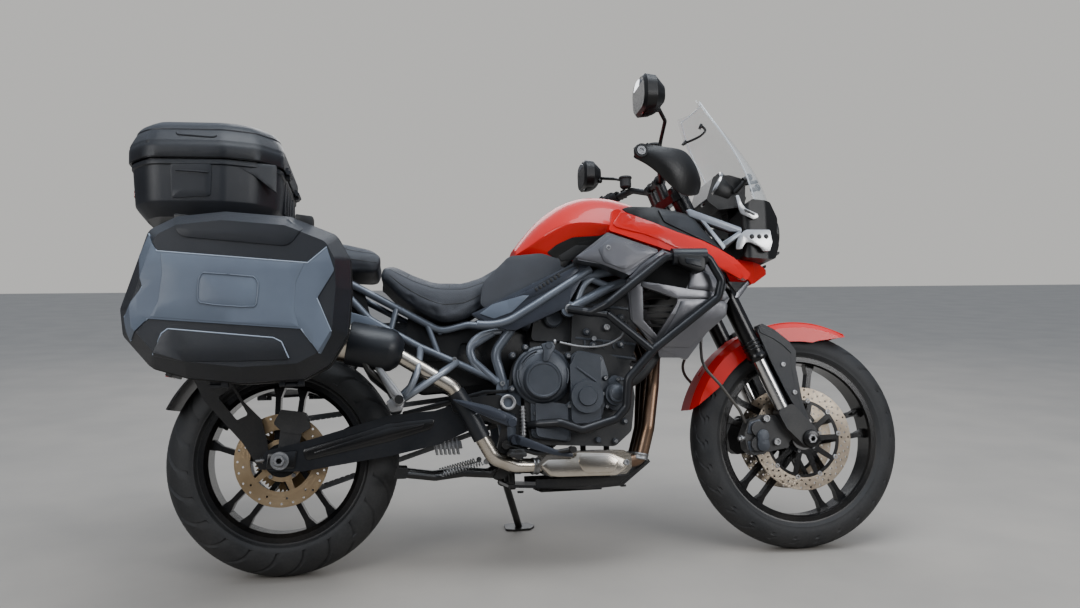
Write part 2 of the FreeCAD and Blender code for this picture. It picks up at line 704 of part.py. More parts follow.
# Route of a brake hose from caliper to lower yoke: ahead of the axis, to the side, up along it
HOSE = ((-98, 86, 124), (-103, 100, 168), (-127, 112, 262), (-150, 110, 334), (-112, 62, 384),
        (-76, 46, 436), (-60, 38, 500), (-45, 34, 556), (-22, 30, 574))
for side in (-1, 1):
    hose = tube([tuple(fork_point(a, y * side, s)) for a, y, s in HOSE], HOSE_RADIUS, 60)
    hoses.append(carve(hose, front_caliper, mirrored(front_caliper), yokes))
piece("brake_hoses", *hoses)

# Main frame, swingarm and rear suspension

FRAME_TUBE = size("frame_tube_radius")
head_low = fork_point(0, 0, HEAD_TUBE[0])
head_high = fork_point(0, 0, HEAD_TUBE[1])
head_body = rod(head_low, head_high, 31)
head_hole = rod(head_low, head_high, STEM_RADIUS + SEAT_GAP * 2)
RAIL = ((1188, 22, 948), (1096, 104, 868), (900, 150, 828), (712, 146, 792), (636, 128, 664),
        (592, 118, 606), (606, 116, 556), (622, 116, 500))
DOWN_RAIL = ((1208, 20, 905), (1084, 118, 838), (930, 152, 788), (806, 156, 724))
PIVOT_PLATE = ((596, 520), (590, 440), (612, 300), (640, 262), (668, 262), (664, 380),
               (664, 500), (640, 530))
frame_parts = []
for side in (-1, 1):
    frame_parts.append(tube([(x, y * side, z) for x, y, z in RAIL], FRAME_TUBE, 70))
    frame_parts.append(tube([(x, y * side, z) for x, y, z in DOWN_RAIL], FRAME_TUBE, 60))
    low, high = sorted((side * 112.0, side * 126.0))
    frame_parts.append(slab(PIVOT_PLATE, low, high, 14))
    frame_parts.append(disc(Vector(806, side * 156, 724), Y_AXIS, 22, 20))
    frame_parts.append(tube([(590, side * 118, 664), (520, side * 118, 622),
                             (532, side * 118, 584), (600, side * 118, 520)], 11, 24))
    # Brace from the down rail to the upper rail
    frame_parts.append(rod((930, side * 151, 790), (860, side * 148, 820), 10))
for x, y, z in ((712, 146, 792), (600, 118, 590), (640, 114, 285)):
    frame_parts.append(rod((x, -y, z), (x, y, z), 12))
for side in (-1, 1):
    frame_parts.append(disc(PIVOT + Y_AXIS * side * 132, Y_AXIS, 22, 16))
main_frame = fuse(head_body, *frame_parts).cut(head_hole)
piece("main_frame", *solids_of(main_frame))

ARM_OUTLINE = ((-46, 322), (-40, 350), (60, 372), (300, 438), (420, 446), (560, 488),
               (650, 490), (655, 440), (600, 424), (430, 352), (300, 326), (60, 292), (-30, 296))
REAR_ARM_IN = REAR_DISC_PACK + 11.5
LEFT_ARM_IN = 112.0
right_arm = slab(ARM_OUTLINE, -REAR_ARM_IN - 34, -REAR_ARM_IN, 14)
left_arm = slab(ARM_OUTLINE, LEFT_ARM_IN, LEFT_ARM_IN + 32, 14)
# The front of each arm leans inwards to the pivot tube
arm_bridge = slab(((430, 352), (395, 440), (440, 452), (640, 488), (648, 440), (600, 424)), -98, 112, 10)
pivot_tube = disc(PIVOT, Y_AXIS, 28, 216)
pivot_hole = disc(PIVOT, Y_AXIS, 10, 320)
arm_window = slab(((452, 384), (430, 424), (580, 462), (585, 436)), -80, 60, 8)
rear_axle = rod(REAR_AXLE - Y_AXIS * (REAR_ARM_IN + 40), REAR_AXLE + Y_AXIS * (LEFT_ARM_IN + 38),
                size("axle_radius"))
rear_axle_hole = rod(REAR_AXLE - Y_AXIS * 160, REAR_AXLE + Y_AXIS * 160, size("axle_bore_radius"))
arm_right_front = Part.makeBox(300, 80, 400, Vector(566, -180, 300))
arm_left_front = Part.makeBox(300, 80, 400, Vector(566, 111, 300))
swingarm = fuse(right_arm.cut(arm_right_front), left_arm.cut(arm_left_front), arm_bridge,
                pivot_tube, rear_axle)
swingarm = swingarm.cut([rear_axle_hole, pivot_hole, arm_window, main_frame])
chain_room = slab(((300, 300), (300, 560), (740, 560), (740, 380), (600, 300)), 80, 110)
swingarm = swingarm.cut(chain_room)
piece("swingarm", *solids_of(swingarm))

# Rear shock: a body of revolution with its spring coils as ridges
shock_foot = Vector(520, 0, 452)
shock_head = Vector(596, 0, 590)
shock_way = unit(shock_head - shock_foot)
shock_long = (shock_head - shock_foot).Length
shock_outline = [(0, 0), (14, 0), (14, 20)]
COILS = 5
for index in range(COILS):
    base = 20 + (shock_long - 60) / COILS * index
    step = (shock_long - 60) / COILS
    shock_outline += [(26, base + step * 0.1), (34, base + step * 0.35),
                      (34, base + step * 0.65), (26, base + step * 0.9)]
shock_outline += [(18, shock_long - 38), (16, shock_long), (0, shock_long)]
loop = [Vector(r, 0, s) for r, s in shock_outline]
shock = Part.Face(Part.makePolygon(loop + loop[:1])).revolve(Vector(0, 0, 0), Z_AXIS, 360)
shock.Placement = Placement(shock_foot, Rotation(Z_AXIS, shock_way))
shock = carve(Part.makeCompound([shock]), main_frame, swingarm)
piece("shock_absorber", shock)

# Chain: a closed band with raised links round both sprockets

CHAIN_HALF = 7.5
CHAIN_REAR = size("sprocket_radius") + size("chain_clearance") + CHAIN_HALF
CHAIN_FRONT = 41.0
OUTPUT = Vector(692, 0, 470)


def chain_points(count):
    """Points and directions along the chain line, evenly spaced."""
    span = OUTPUT - REAR_AXLE
    gap = math.hypot(span.x, span.z)
    tilt = math.atan2(span.z, span.x)
    wrap = math.asin((CHAIN_REAR - CHAIN_FRONT) / gap)
    run = gap * math.cos(wrap)
    rear_arc = CHAIN_REAR * (math.pi + 2 * wrap)
    front_arc = CHAIN_FRONT * (math.pi - 2 * wrap)
    total = 2 * run + rear_arc + front_arc
    upper = tilt + math.pi / 2 - wrap
    result = []
    for index in range(count):
        way = total * index / count
        if way < run:
            turn = upper
            base = REAR_AXLE + Vector(math.cos(turn), 0, math.sin(turn)) * CHAIN_REAR
            heading = turn - math.pi / 2
            spot = base + Vector(math.cos(heading), 0, math.sin(heading)) * way
        elif way < run + front_arc:
            turn = upper - (way - run) / CHAIN_FRONT
            spot = OUTPUT + Vector(math.cos(turn), 0, math.sin(turn)) * CHAIN_FRONT
            heading = turn - math.pi / 2
        elif way < 2 * run + front_arc:
            turn = upper - (math.pi - 2 * wrap)
            base = OUTPUT + Vector(math.cos(turn), 0, math.sin(turn)) * CHAIN_FRONT
            heading = turn - math.pi / 2
            spot = base + Vector(math.cos(heading), 0, math.sin(heading)) * (
                way - run - front_arc)
        else:
            turn = upper - (math.pi - 2 * wrap) - (way - 2 * run - front_arc) / CHAIN_REAR
            spot = REAR_AXLE + Vector(math.cos(turn), 0, math.sin(turn)) * CHAIN_REAR
            heading = turn - math.pi / 2
        result.append((spot, heading))
    return result


links = chain_points(int(size("chain_links")))
outer_loop = []
inner_loop = []
for spot, heading in links:
    away = Vector(-math.sin(heading), 0, math.cos(heading)) * CHAIN_HALF
    outer_loop.append(spot + away)
    inner_loop.append(spot - away)
half_link = size("sprocket_spread") - 6
band = Part.Face(Part.makePolygon([p + Y_AXIS * half_link for p in outer_loop + outer_loop[:1]]))
hollow = Part.Face(Part.makePolygon([p + Y_AXIS * half_link for p in inner_loop + inner_loop[:1]]))
chain = band.cut(hollow).extrude(Y_AXIS * 12)
front_sprocket = disc(OUTPUT + Y_AXIS * size("sprocket_spread"), Y_AXIS, CHAIN_FRONT - CHAIN_HALF + 2, 8)
output_shaft = rod(OUTPUT + Y_AXIS * 76, OUTPUT + Y_AXIS * 104, 14)
chain_drive = fuse(chain, front_sprocket, output_shaft)
piece("chain_drive", *solids_of(chain_drive))

# Engine block and its covers

ENGINE_HALF = size("engine_half_width")
CRANKCASE = ((690, 342), (930, 330), (980, 372), (994, 470), (984, 566), (900, 604), (700, 604),
             (672, 560), (672, 430))
CYLINDERS = ((812, 590), (984, 556), (1012, 636), (1006, 752), (985, 800), (852, 806), (824, 760))
THROTTLES = ((700, 640), (826, 636), (836, 762), (724, 768))
engine_block = fuse(
    slab(CRANKCASE, -ENGINE_HALF, ENGINE_HALF, 24),
    slab(CYLINDERS, -ENGINE_HALF + 8, ENGINE_HALF - 8, 18),
    slab(THROTTLES, -105, 105, 14),
    slab(((700, 590), (826, 590), (826, 640), (700, 640)), -90, 90))
chain_pocket = Part.makeBox(120, 100, 130, Vector(640, 76, 405))
engine_block = engine_block.cut([chain_pocket, main_frame])
piece("engine_block", *solids_of(engine_block))


def stepped_cover(centre, side, steps):
    """Round cover of steps that rise outwards; each step is radius, start and end."""
    parts = []
    for radius, start, end in steps:
        parts.append(rod(centre + Y_AXIS * side * start, centre + Y_AXIS * side * end, radius))
    return parts[0] if len(parts) == 1 else fuse(*parts)


CLUTCH = Vector(724, 0, 536)
CRANK = Vector(845, 0, 472)
PUMP = Vector(933, 0, 477)
clutch_steps = []
for name, start, end in (("clutch_drum_radius", ENGINE_HALF, 172.0),
                         ("clutch_shoulder_radius", 172.0, 182.0),
                         ("clutch_crown_radius", 182.0, 194.0)):
    clutch_steps.append(sheet_cylinder(
        name.replace("radius", "step"), CLUTCH - Y_AXIS * start, CLUTCH - Y_AXIS * end, name))
clutch_cover = sheet_piece("clutch_cover", "Part::MultiFuse", clutch_steps)
crank_case_cover = slab(((800, 398), (884, 398), (890, 590), (820, 600), (800, 560)),
                        -176, -ENGINE_HALF, 16)
crank_cover = fuse(crank_case_cover, stepped_cover(
    CRANK, -1, ((46, ENGINE_HALF, 190), (25, 190, 197))))
crank_cover = crank_cover.cut(clutch_cover)
pump_cover = stepped_cover(PUMP, -1, ((32, ENGINE_HALF, 172), (22, 172, 182))).cut(crank_cover)
lower_cover = slab(((700, 366), (792, 350), (792, 452), (700, 468)), -166, -ENGINE_HALF, 14)
lower_cover = lower_cover.cut([clutch_cover, crank_cover])
generator_cover = stepped_cover(CRANK, 1, ((82, ENGINE_HALF, 176), (66, 176, 188), (30, 188, 196)))
sprocket_cover = slab(((660, 410), (736, 400), (756, 452), (752, 524), (670, 528), (646, 470)),
                      110, 150, 16).cut([generator_cover, engine_block, main_frame])
piece("engine_covers", *solids_of(crank_cover), *solids_of(pump_cover), *solids_of(lower_cover),
      generator_cover, *solids_of(sprocket_cover))

# Radiator between the frame and the front wheel

RADIATOR = ((1118, 792), (1152, 800), (1196, 640), (1160, 626))
radiator_core = slab(RADIATOR, -130, 130)
radiator_tanks = [slab(RADIATOR, 130, 158, 6), slab(RADIATOR, -158, -130, 6)]
radiator_stays = []
for side in (-1, 1):
    radiator_stays.append(rod((1128, side * 112, 790), (1100, side * 112, 846), 7))
radiator = fuse(radiator_core, *radiator_tanks, *radiator_stays).cut(main_frame)
piece("radiator", *solids_of(radiator))

# Fuel tank: rounded sections from the seat to the steering head
# Each section: x, then half width and z of the bottom, middle and top, and corner radius
TANK_SECTIONS = (
    (664, (78, 868), (100, 890), (48, 920), 14),
    (742, (112, 866), (150, 930), (84, 1010), 40),
    (862, (150, 868), (196, 958), (108, 1068), 50),
    (980, (168, 880), (212, 958), (108, 1062), 50),
    (1088, (160, 892), (196, 946), (96, 1008), 40))
tank = Part.makeLoft(
    [cross_section(x, low, mid, high, corner) for x, low, mid, high, corner in TANK_SECTIONS],
    True, False)
tank = carve(tank, main_frame)
cap_body = Part.makeCylinder(42, 26, Vector(905, 0, 1052), Z_AXIS)
piece("fuel_tank", *solids_of(fuse(tank, cap_body)))

# Front body panels follow one curved side skin
# Each station: x, then the skin's half width at the heights below
SKIN_HEIGHTS = (560, 700, 850, 930, 1025)
SKIN_STATIONS = (
    (915, (196, 212, 232, 230, 206)),
    (1060, (182, 222, 240, 230, 196)),
    (1200, (176, 214, 222, 200, 160)),
    (1372, (150, 160, 152, 136, 120)))


def side_skin(thickness, outward=0.0):
    """The right-hand skin between the stations, as thick as asked."""
    wires = []
    for x, halves in SKIN_STATIONS:
        outer = [Vector(x, -half - outward, z) for half, z in zip(halves, SKIN_HEIGHTS)]
        inner = [Vector(x, -half - outward + thickness, z)
                 for half, z in zip(halves, SKIN_HEIGHTS)]
        loop = outer + list(reversed(inner))
        wires.append(Part.makePolygon(loop + loop[:1]))
    return Part.makeLoft(wires, True, True)


WING = ((918, 940), (936, 1004), (952, 1007), (996, 979), (1095, 947), (1206, 914), (1250, 897),
        (1306, 870), (1362, 824), (1346, 804), (1225, 846), (1071, 887))
INFILL = ((811, 858), (914, 936), (1069, 883), (974, 811), (902, 842))
COWL_OUTER = ((1073, 880), (972, 804), (964, 796), (974, 686), (1037, 620), (1054, 604),
              (1142, 570), (1279, 746), (1222, 842))
COWL_WINDOW = ((1010, 792), (1006, 684), (1046, 632), (1110, 730), (1112, 776))
skin = side_skin(26)
wing = skin.common(slab(WING, -300, -100, 6))
wing = Part.makeCompound(solids_of(wing.cut(tank)))
cowl = side_skin(16).common(slab(COWL_OUTER, -300, -100, 6))
cowl = cowl.cut([slab(COWL_WINDOW, -300, -100, 6), main_frame, radiator, wing])
cowl = Part.makeCompound(solids_of(cowl))
infill_skin = slab(INFILL, -222, -150, 8)
infill = infill_skin.cut([wing, cowl, tank, main_frame, engine_block])
infill = Part.makeCompound(solids_of(infill))
piece("radiator_cowls", cowl, mirrored(cowl))

TRIM = ((528, 712), (606, 674), (647, 668), (794, 732), (866, 850), (835, 858), (547, 718))
trim = slab(TRIM, -166, -150, 8).cut([main_frame, tank, engine_block, infill])
trim = Part.makeCompound(solids_of(trim))
piece("side_trims", trim, mirrored(trim), infill, mirrored(infill))

# Nose, cockpit stay, headlight, instruments and screen

stay_plate = slab(((1190, 885), (1228, 880), (1340, 930), (1340, 960), (1212, 940)), -14, 14)
stay_bar = rod((1340, -150, 945), (1340, 150, 945), 9)
lattice = []
for side in (-1, 1):
    lattice.append(tube([(1340, side * 150, 945), (1195, side * 156, 990),
                         (1120, side * 170, 992), (1060, side * 176, 985)], 8, 30))
    lattice.append(rod((1215, side * 156, 984), (1286, side * 150, 905), 7))
    lattice.append(rod((1286, side * 150, 905), (1340, side * 150, 945), 7))
head_room = rod(fork_point(0, 0, LOWER_YOKE[0] - 12), head_high, 31)
cockpit_stay = fuse(stay_plate, stay_bar, *lattice).cut([main_frame, head_room, tank])
cockpit_stay = cockpit_stay.cut([wing, mirrored(wing)])

BEAK = ((1336, 876), (1336, 800), (1400, 806), (1462, 842), (1470, 856), (1430, 872))
beak = plan_slab(((1330, -118), (1330, 118), (1400, 84), (1466, 26), (1466, -26), (1400, -84)),
                 780, 900, 12).common(slab(BEAK, -130, 130))
# Legs and yoke swing past both flanks of the beak and leave its middle alone
leg_swing = fork_sweep(34, 143, 20, 140, 460, 640)
beak = beak.cut([wing, mirrored(wing), leg_swing, mirrored(leg_swing)])
beak = Part.makeCompound(solids_of(beak))
piece("front_panels", wing, mirrored(wing), *solids_of(beak))

HEADLIGHT = ((1352, 876), (1430, 872), (1462, 878), (1486, 926), (1486, 1006), (1452, 1052),
             (1384, 1056), (1352, 1020))
headlight = plan_slab(((1350, -150), (1350, 150), (1430, 140), (1488, 92), (1488, -92), (1430, -140)),
                      860, 1100, 24).common(slab(HEADLIGHT, -160, 160, 12))
headlight = headlight.cut([beak, cockpit_stay])
piece("headlight", *solids_of(headlight))

POD = ((1262, 1066), (1300, 1036), (1384, 1046), (1392, 1132), (1340, 1146), (1288, 1142))
pod = slab(POD, -88, 88, 10)
pod_neck = slab(((1346, 940), (1352, 940), (1384, 1060), (1352, 1060)), -30, 30)
screen_stays = []
for side in (-1, 1):
    screen_stays.append(rod((1380, side * 60, 1122), (1452, side * 60, 1136), 6))
pod = fuse(pod, pod_neck, cockpit_stay, *screen_stays).cut(headlight)

# Screen sections: z, x of the middle, half width and how far the sides sweep back
SCREEN_SECTIONS = (
    (1054, 1486, 150, 96), (1150, 1448, 152, 86), (1270, 1364, 140, 64), (1384, 1276, 92, 30))
SCREEN = size("screen_thickness")
screen_wires = []
for z, x, half, sweep in SCREEN_SECTIONS:
    right = Vector(x - sweep, -half, z)
    left = Vector(x - sweep, half, z)
    right_in = right - X_AXIS * SCREEN
    left_in = left - X_AXIS * SCREEN
    screen_wires.append(Part.Wire([
        Part.Arc(right, Vector(x, 0, z), left).toShape(),
        Part.LineSegment(left, left_in).toShape(),
        Part.Arc(left_in, Vector(x - SCREEN, 0, z), right_in).toShape(),
        Part.LineSegment(right_in, right).toShape()]))
screen = Part.makeLoft(screen_wires, True, False)
screen = carve(screen, headlight)
piece("windscreen", screen)
far_side = Part.makeBox(200, 400, 400, Vector(1380, -200, 1050)).cut(
    Part.makeLoft([rounded_loop([Vector(1300, -190, z), Vector(1300, 190, z),
                                 Vector(x - SCREEN + 1, 190, z), Vector(x - SCREEN + 1, -190, z)], 0)
                   for z, x, half, sweep in SCREEN_SECTIONS], True, True))
piece("cockpit_stay", *solids_of(pod.cut([screen, far_side]), 0.1))
# Seats

RIDER_SEAT = ((274, 834), (284, 874), (365, 832), (429, 809), (512, 809), (571, 832), (618, 862),
              (660, 896), (690, 868), (662, 806), (600, 768), (541, 726), (506, 706),
              (453, 697), (394, 726), (335, 768))
SEAT_PLAN = ((260, -142), (440, -152), (560, -122), (700, -88), (700, 88), (560, 122),
             (440, 152), (260, 142))
rider_seat = slab(RIDER_SEAT, -160, 160, 10).common(plan_slab(SEAT_PLAN, 600, 950, 30))
rider_seat = rider_seat.cut([tank, trim, mirrored(trim), main_frame])
piece("rider_seat", *solids_of(rider_seat))

PILLION_SEAT = ((-60, 862), (-60, 930), (60, 936), (165, 926), (268, 902), (282, 892), (269, 840),
                (140, 850))
pillion_seat = slab(PILLION_SEAT, -140, 140, 14).common(
    plan_slab(((-70, -110), (120, -140), (290, -138), (290, 138), (120, 140), (-70, 110)),
              800, 960, 30))
piece("pillion_seat", *solids_of(pillion_seat.cut(rider_seat)))

# Rear subframe carries the seats, tail, racks and pillion pegs

SUB_TUBE = size("subframe_tube_radius")
subframe_parts = []
for side in (-1, 1):
    upper = [(640, side * 122, 672), (520, side * 104, 690), (440, side * 104, 672),
             (300, side * 108, 752), (140, side * 108, 838), (-120, side * 100, 852)]
    lower = [(612, side * 117, 520), (506, side * 116, 574), (482, side * 116, 585),
             (382, side * 114, 626), (244, side * 110, 706), (160, side * 108, 800)]
    subframe_parts.append(tube(upper, SUB_TUBE, 60))
    subframe_parts.append(tube(lower, SUB_TUBE, 60))
    subframe_parts.append(rod((404, side * 106, 690), (434, side * 115, 604), 8))
    subframe_parts.append(rod((318, side * 108, 742), (300, side * 112, 674), 8))
    hanger = [(387, side * 114, 624), (376, side * 126, 573), (353, side * 146, 514),
              (322, side * 150, 486)]
    subframe_parts.append(tube(hanger, 8.5, 30))
    subframe_parts.append(rod((484, side * 116, 582), (324, side * 150, 480), 8.5))
for x, y, z in ((140, 108, 838), (440, 104, 672), (-100, 100, 852)):
    subframe_parts.append(rod((x, -y, z), (x, y, z), 9))
subframe = fuse(subframe_parts[0], *subframe_parts[1:]).cut(
    [main_frame, rider_seat, pillion_seat, engine_block])
piece("rear_subframe", *solids_of(subframe))

battery_box = slab(((335, 590), (352, 736), (450, 668), (520, 684), (560, 668), (548, 640),
                    (500, 640), (486, 590)), -78, 78, 10).cut([subframe, rider_seat, shock, main_frame])
piece("battery_box", *solids_of(battery_box))

TAIL = ((-232, 800), (-250, 850), (-170, 890), (-62, 896), (-62, 864), (120, 846), (230, 780),
        (250, 690), (216, 676), (100, 778), (-60, 820))
tail = slab(TAIL, -96, 96, 12).cut([subframe, pillion_seat, rider_seat])

# The plate holder hangs from the tail
plate_holder = slab(((-232, 798), (-214, 802), (-300, 560), (-318, 566)), -60, 60, 3)
plate = slab(((-312, 575), (-306, 573), (-250, 730), (-256, 732)), -110, 110)
lamp = slab(((-252, 800), (-236, 800), (-252, 850), (-268, 850)), -62, 62)
plate_holder = fuse(plate_holder, plate).cut(tail)

tail = fuse(tail, plate_holder, lamp)
piece("tail_fairing", *solids_of(tail))

# Exhaust: three header pipes, collector box, link pipe and silencer

header_solids = []
HEADER = size("header_radius")
# Port, bend and entry places: y at the head and y at the collector
for port_y, box_y in ((-86, -134), (0, -92), (86, -50)):
    mid_y = (port_y + box_y) / 2
    route = [(990, port_y, 686), (1052, port_y, 676), (1078, port_y * 0.8, 600),
             (1056, mid_y, 500), (1030, box_y, 380), (1004, box_y, 292), (960, box_y, 286)]
    header_solids.append(tube(route, HEADER, 46))
headers = [carve(item, engine_block, radiator) for item in header_solids]
COLLECTOR = ((700, 286), (736, 252), (955, 252), (972, 270), (972, 304), (950, 320), (736, 320))
collector = slab(COLLECTOR, -156, -24, 12)
headers = [carve(item, collector) for item in headers]
piece("exhaust_headers", *headers)
collector = collector.cut(engine_block)
link_route = [(716, -110, 282), (640, -134, 286), (580, -158, 310), (545, -168, 370),
              (510, -172, 440), (468, -176, 508), (335, -178, 587), (290, -178, 618)]
link_pipe = tube(link_route, 21, 50).cut(main_frame)
piece("collector_and_link", *solids_of(fuse(collector, link_pipe)))
silencer_front = Vector(300, -178, 612)
silencer_rear = Vector(-140, -186, 706)
silencer_way = unit(silencer_rear - silencer_front)
silencer_long = (silencer_rear - silencer_front).Length
SILENCER = size("silencer_radius")
shell_outline = [(0, 0), (24, 0), (SILENCER - 6, 26), (SILENCER, 34),
                 (SILENCER, silencer_long - 30), (SILENCER - 12, silencer_long - 4),
                 (30, silencer_long), (30, silencer_long + 18), (24, silencer_long + 18),
                 (24, silencer_long - 60), (0, silencer_long - 60)]
loop = [Vector(r, 0, s) for r, s in shell_outline]
silencer = Part.Face(Part.makePolygon(loop + loop[:1])).revolve(Vector(0, 0, 0), Z_AXIS, 360)
silencer.Placement = Placement(silencer_front, Rotation(Z_AXIS, silencer_way))
silencer = carve(Part.makeCompound([silencer]), link_pipe, subframe)
piece("silencer", silencer)

# Luggage: rack, side cases and top case

CASE_IN = size("side_case_inner")
CASE_SPLIT = size("side_case_split")
CASE_OUT = size("side_case_outer")
WALL = size("case_wall")
SEAM = size("seam_gap")
CASE_OUTLINE = ((-274, 892), (-210, 926), (-96, 939), (60, 926), (172, 880), (203, 820),
                (206, 740), (196, 630), (152, 556), (90, 524), (-50, 518), (-180, 534), (-262, 560),
                (-326, 636), (-334, 700))
HINGE_Z = 514.0
HINGE_X = (-120.0, 60.0)


def inset(outline, by):
    """The outline with every side drawn in by the same distance."""
    area = 0.0
    for index, (x, z) in enumerate(outline):
        x_before, z_before = outline[index - 1]
        area += x_before * z - x * z_before
    turn = 1.0 if area > 0 else -1.0
    result = []
    for index, (x, z) in enumerate(outline):
        here = Vector(x, z, 0)
        before = Vector(*outline[index - 1], 0)
        after = Vector(*outline[(index + 1) % len(outline)], 0)
        way_in = unit(here - before)
        way_out = unit(after - here)
        normal = Vector(-way_in.y - way_out.y, way_in.x + way_out.x, 0) * turn
        half = way_in.getAngle(way_out) / 2
        moved = here + unit(normal) * (by / math.cos(half))
        result.append((moved.x, moved.y))
    return result


def tapered(outline_near, y_near, outline_far, y_far, corner):
    near = rounded_loop([Vector(x, y_near, z) for x, z in outline_near], corner)
    far = rounded_loop([Vector(x, y_far, z) for x, z in outline_far], corner)
    return Part.makeLoft([near, far], True, True)


def side_case_body():
    outer = tapered(inset(CASE_OUTLINE, 30), -CASE_IN, CASE_OUTLINE, -CASE_SPLIT, 28)
    room = tapered(inset(CASE_OUTLINE, 30 + WALL), -CASE_IN - WALL,
                   inset(CASE_OUTLINE, WALL + 1), -CASE_SPLIT, 26)
    shell = outer.cut(room)
    barrels = []
    for x in HINGE_X:
        barrel = rod((x - 14, -CASE_SPLIT, HINGE_Z), (x + 14, -CASE_SPLIT, HINGE_Z),
                     size("hinge_radius"))
        tab = Part.makeBox(28, 10, 16, Vector(x - 14, -CASE_SPLIT, HINGE_Z - 4))
        barrels += [barrel, tab]
    return fuse(shell, *barrels).cut(room)


def side_case_lid():
    edge = -CASE_SPLIT - SEAM
    rim = -CASE_SPLIT - 44
    outer = fuse(
        tapered(CASE_OUTLINE, edge, CASE_OUTLINE, rim, 28),
        tapered(CASE_OUTLINE, rim, inset(CASE_OUTLINE, 34), -CASE_OUT, 28))
    room = fuse(
        tapered(inset(CASE_OUTLINE, WALL), edge, inset(CASE_OUTLINE, WALL), rim, 26),
        tapered(inset(CASE_OUTLINE, WALL), rim, inset(CASE_OUTLINE, 34 + WALL),
                -CASE_OUT + WALL, 26))
    shell = outer.cut(room)
    barrels = []
    for x in HINGE_X:
        for start in (x - 30, x + 15):
            barrels.append(rod((start, -CASE_SPLIT, HINGE_Z), (start + 15, -CASE_SPLIT, HINGE_Z),
                               size("hinge_radius")))
            barrels.append(Part.makeBox(15, 12, 14, Vector(
                start, -CASE_SPLIT - 12 - SEAM, HINGE_Z - 2)))
    joined = fuse(shell, *barrels).cut(room)
    body_room = Part.makeBox(60, 40, 60, Vector(-150, -CASE_SPLIT - SEAM, HINGE_Z + 6.5))
    return Part.makeCompound(solids_of(joined.cut([body_room, body_room.translated(Vector(180, 0, 0))])))


case_body = side_case_body()
case_lid = side_case_lid()
piece("right_case_body", case_body)
piece("right_case_lid", case_lid)
piece("left_case_body", mirrored(case_body))
piece("left_case_lid", mirrored(case_lid))

RACK_TUBE = size("rack_tube_radius")
rack_y = CASE_IN - RACK_TUBE - 0.3
rack_parts = []
for side in (-1, 1):
    y = side * rack_y
    hoop = [(-20, y, 600), (170, y, 622), (160, y, 840), (-220, y, 860), (-240, y, 640), (-20, y, 600)]
    rack_parts.append(tube(hoop[:4], RACK_TUBE, 40))
    rack_parts.append(tube([hoop[3], hoop[4], hoop[5]], RACK_TUBE, 40))
    rack_parts.append(rod((-30, y, 603), (-30, y, 850), RACK_TUBE))
    rack_parts.append(tube([(160, y, 820), (150, side * 180, 830), (130, side * 108, 836)],
                           RACK_TUBE, 30))
    rack_parts.append(tube([(-216, y, 850), (-150, side * 170, 860), (-110, side * 100, 856)],
                           RACK_TUBE, 30))
    rack_parts.append(tube([(166, y, 700), (240, side * 200, 560), (318, side * 160, 492)],
                           RACK_TUBE, 30))
rack = fuse(rack_parts[0], *rack_parts[1:])
rack = rack.cut([subframe, silencer, tail, link_pipe, pillion_seat])

PLATE_TOP = size("top_case_floor") - 0.3
rack_plate = plan_slab(((-330, -110), (-300, -150), (-60, -140), (20, -100), (20, 100),
                        (-60, 140), (-300, 150), (-330, 110)), PLATE_TOP - 14, PLATE_TOP, 20)
plate_legs = []
for x, z in ((-40, 854), (-200, 862)):
    for side in (-1, 1):
        plate_legs.append(rod((x, side * 98, z), (x - 10, side * 104, PLATE_TOP - 2), 9))
top_rack = fuse(rack_plate, *plate_legs).cut([subframe, pillion_seat, tail])
piece("luggage_rack", *solids_of(fuse(rack, top_rack)))

TOP_FLOOR = size("top_case_floor")
TOP_SPLIT = size("top_case_split")
TOP_HALF = size("top_case_half_width")
TOP_PLAN = ((14, -190), (14, 190), (-48, 262), (-130, TOP_HALF), (-322, TOP_HALF), (-380, 230),
            (-388, 150), (-388, -150), (-380, -230), (-322, -TOP_HALF), (-130, -TOP_HALF),
            (-48, -262))


def level(outline, z, corner):
    return rounded_loop([Vector(x, y, z) for x, y in outline], corner)


def stacked(levels, corner):
    """A ruled solid through plan outlines; each level is inset and z."""
    return Part.makeLoft([level(inset(TOP_PLAN, by), z, corner) for by, z in levels], True, True)


top_outer = stacked(((46, TOP_FLOOR), (18, TOP_FLOOR + 34), (9, TOP_SPLIT)), 30)
top_room = stacked(((46 + WALL, TOP_FLOOR + WALL), (18 + WALL, TOP_FLOOR + 36),
                    (9 + WALL, TOP_SPLIT)), 28)
TOP_HINGE = Vector(22, 0, TOP_SPLIT + 2)
top_base = top_outer.cut(top_room)
base_barrels = []
for y in (-120.0, 120.0):
    base_barrels.append(rod((TOP_HINGE.x, y - 14, TOP_HINGE.z), (TOP_HINGE.x, y + 14, TOP_HINGE.z),
                            size("hinge_radius")))
    base_barrels.append(Part.makeBox(20, 28, 12, Vector(4, y - 14, TOP_SPLIT - 12)))
top_base = fuse(top_base, *base_barrels).cut(top_room)
piece("top_case_base", *solids_of(top_base))
TOP_TOP = size("top_case_height")
lid_outer = stacked(((0, TOP_SPLIT + SEAM), (0, TOP_SPLIT + 48), (22, TOP_SPLIT + 92),
                     (70, TOP_TOP)), 30)
lid_room = stacked(((WALL, TOP_SPLIT + SEAM), (WALL, TOP_SPLIT + 48),
                    (22 + WALL, TOP_SPLIT + 92 - WALL), (70 + WALL, TOP_TOP - WALL)), 28)
lid_barrels = []
for y in (-120.0, 120.0):
    for start in (y - 30, y + 15):
        lid_barrels.append(rod((TOP_HINGE.x, start, TOP_HINGE.z),
                               (TOP_HINGE.x, start + 15, TOP_HINGE.z), size("hinge_radius")))
        lid_barrels.append(Part.makeBox(16, 15, 12, Vector(6, start, TOP_SPLIT + 3)))
top_lid = fuse(lid_outer.cut(lid_room), *lid_barrels).cut(lid_room)
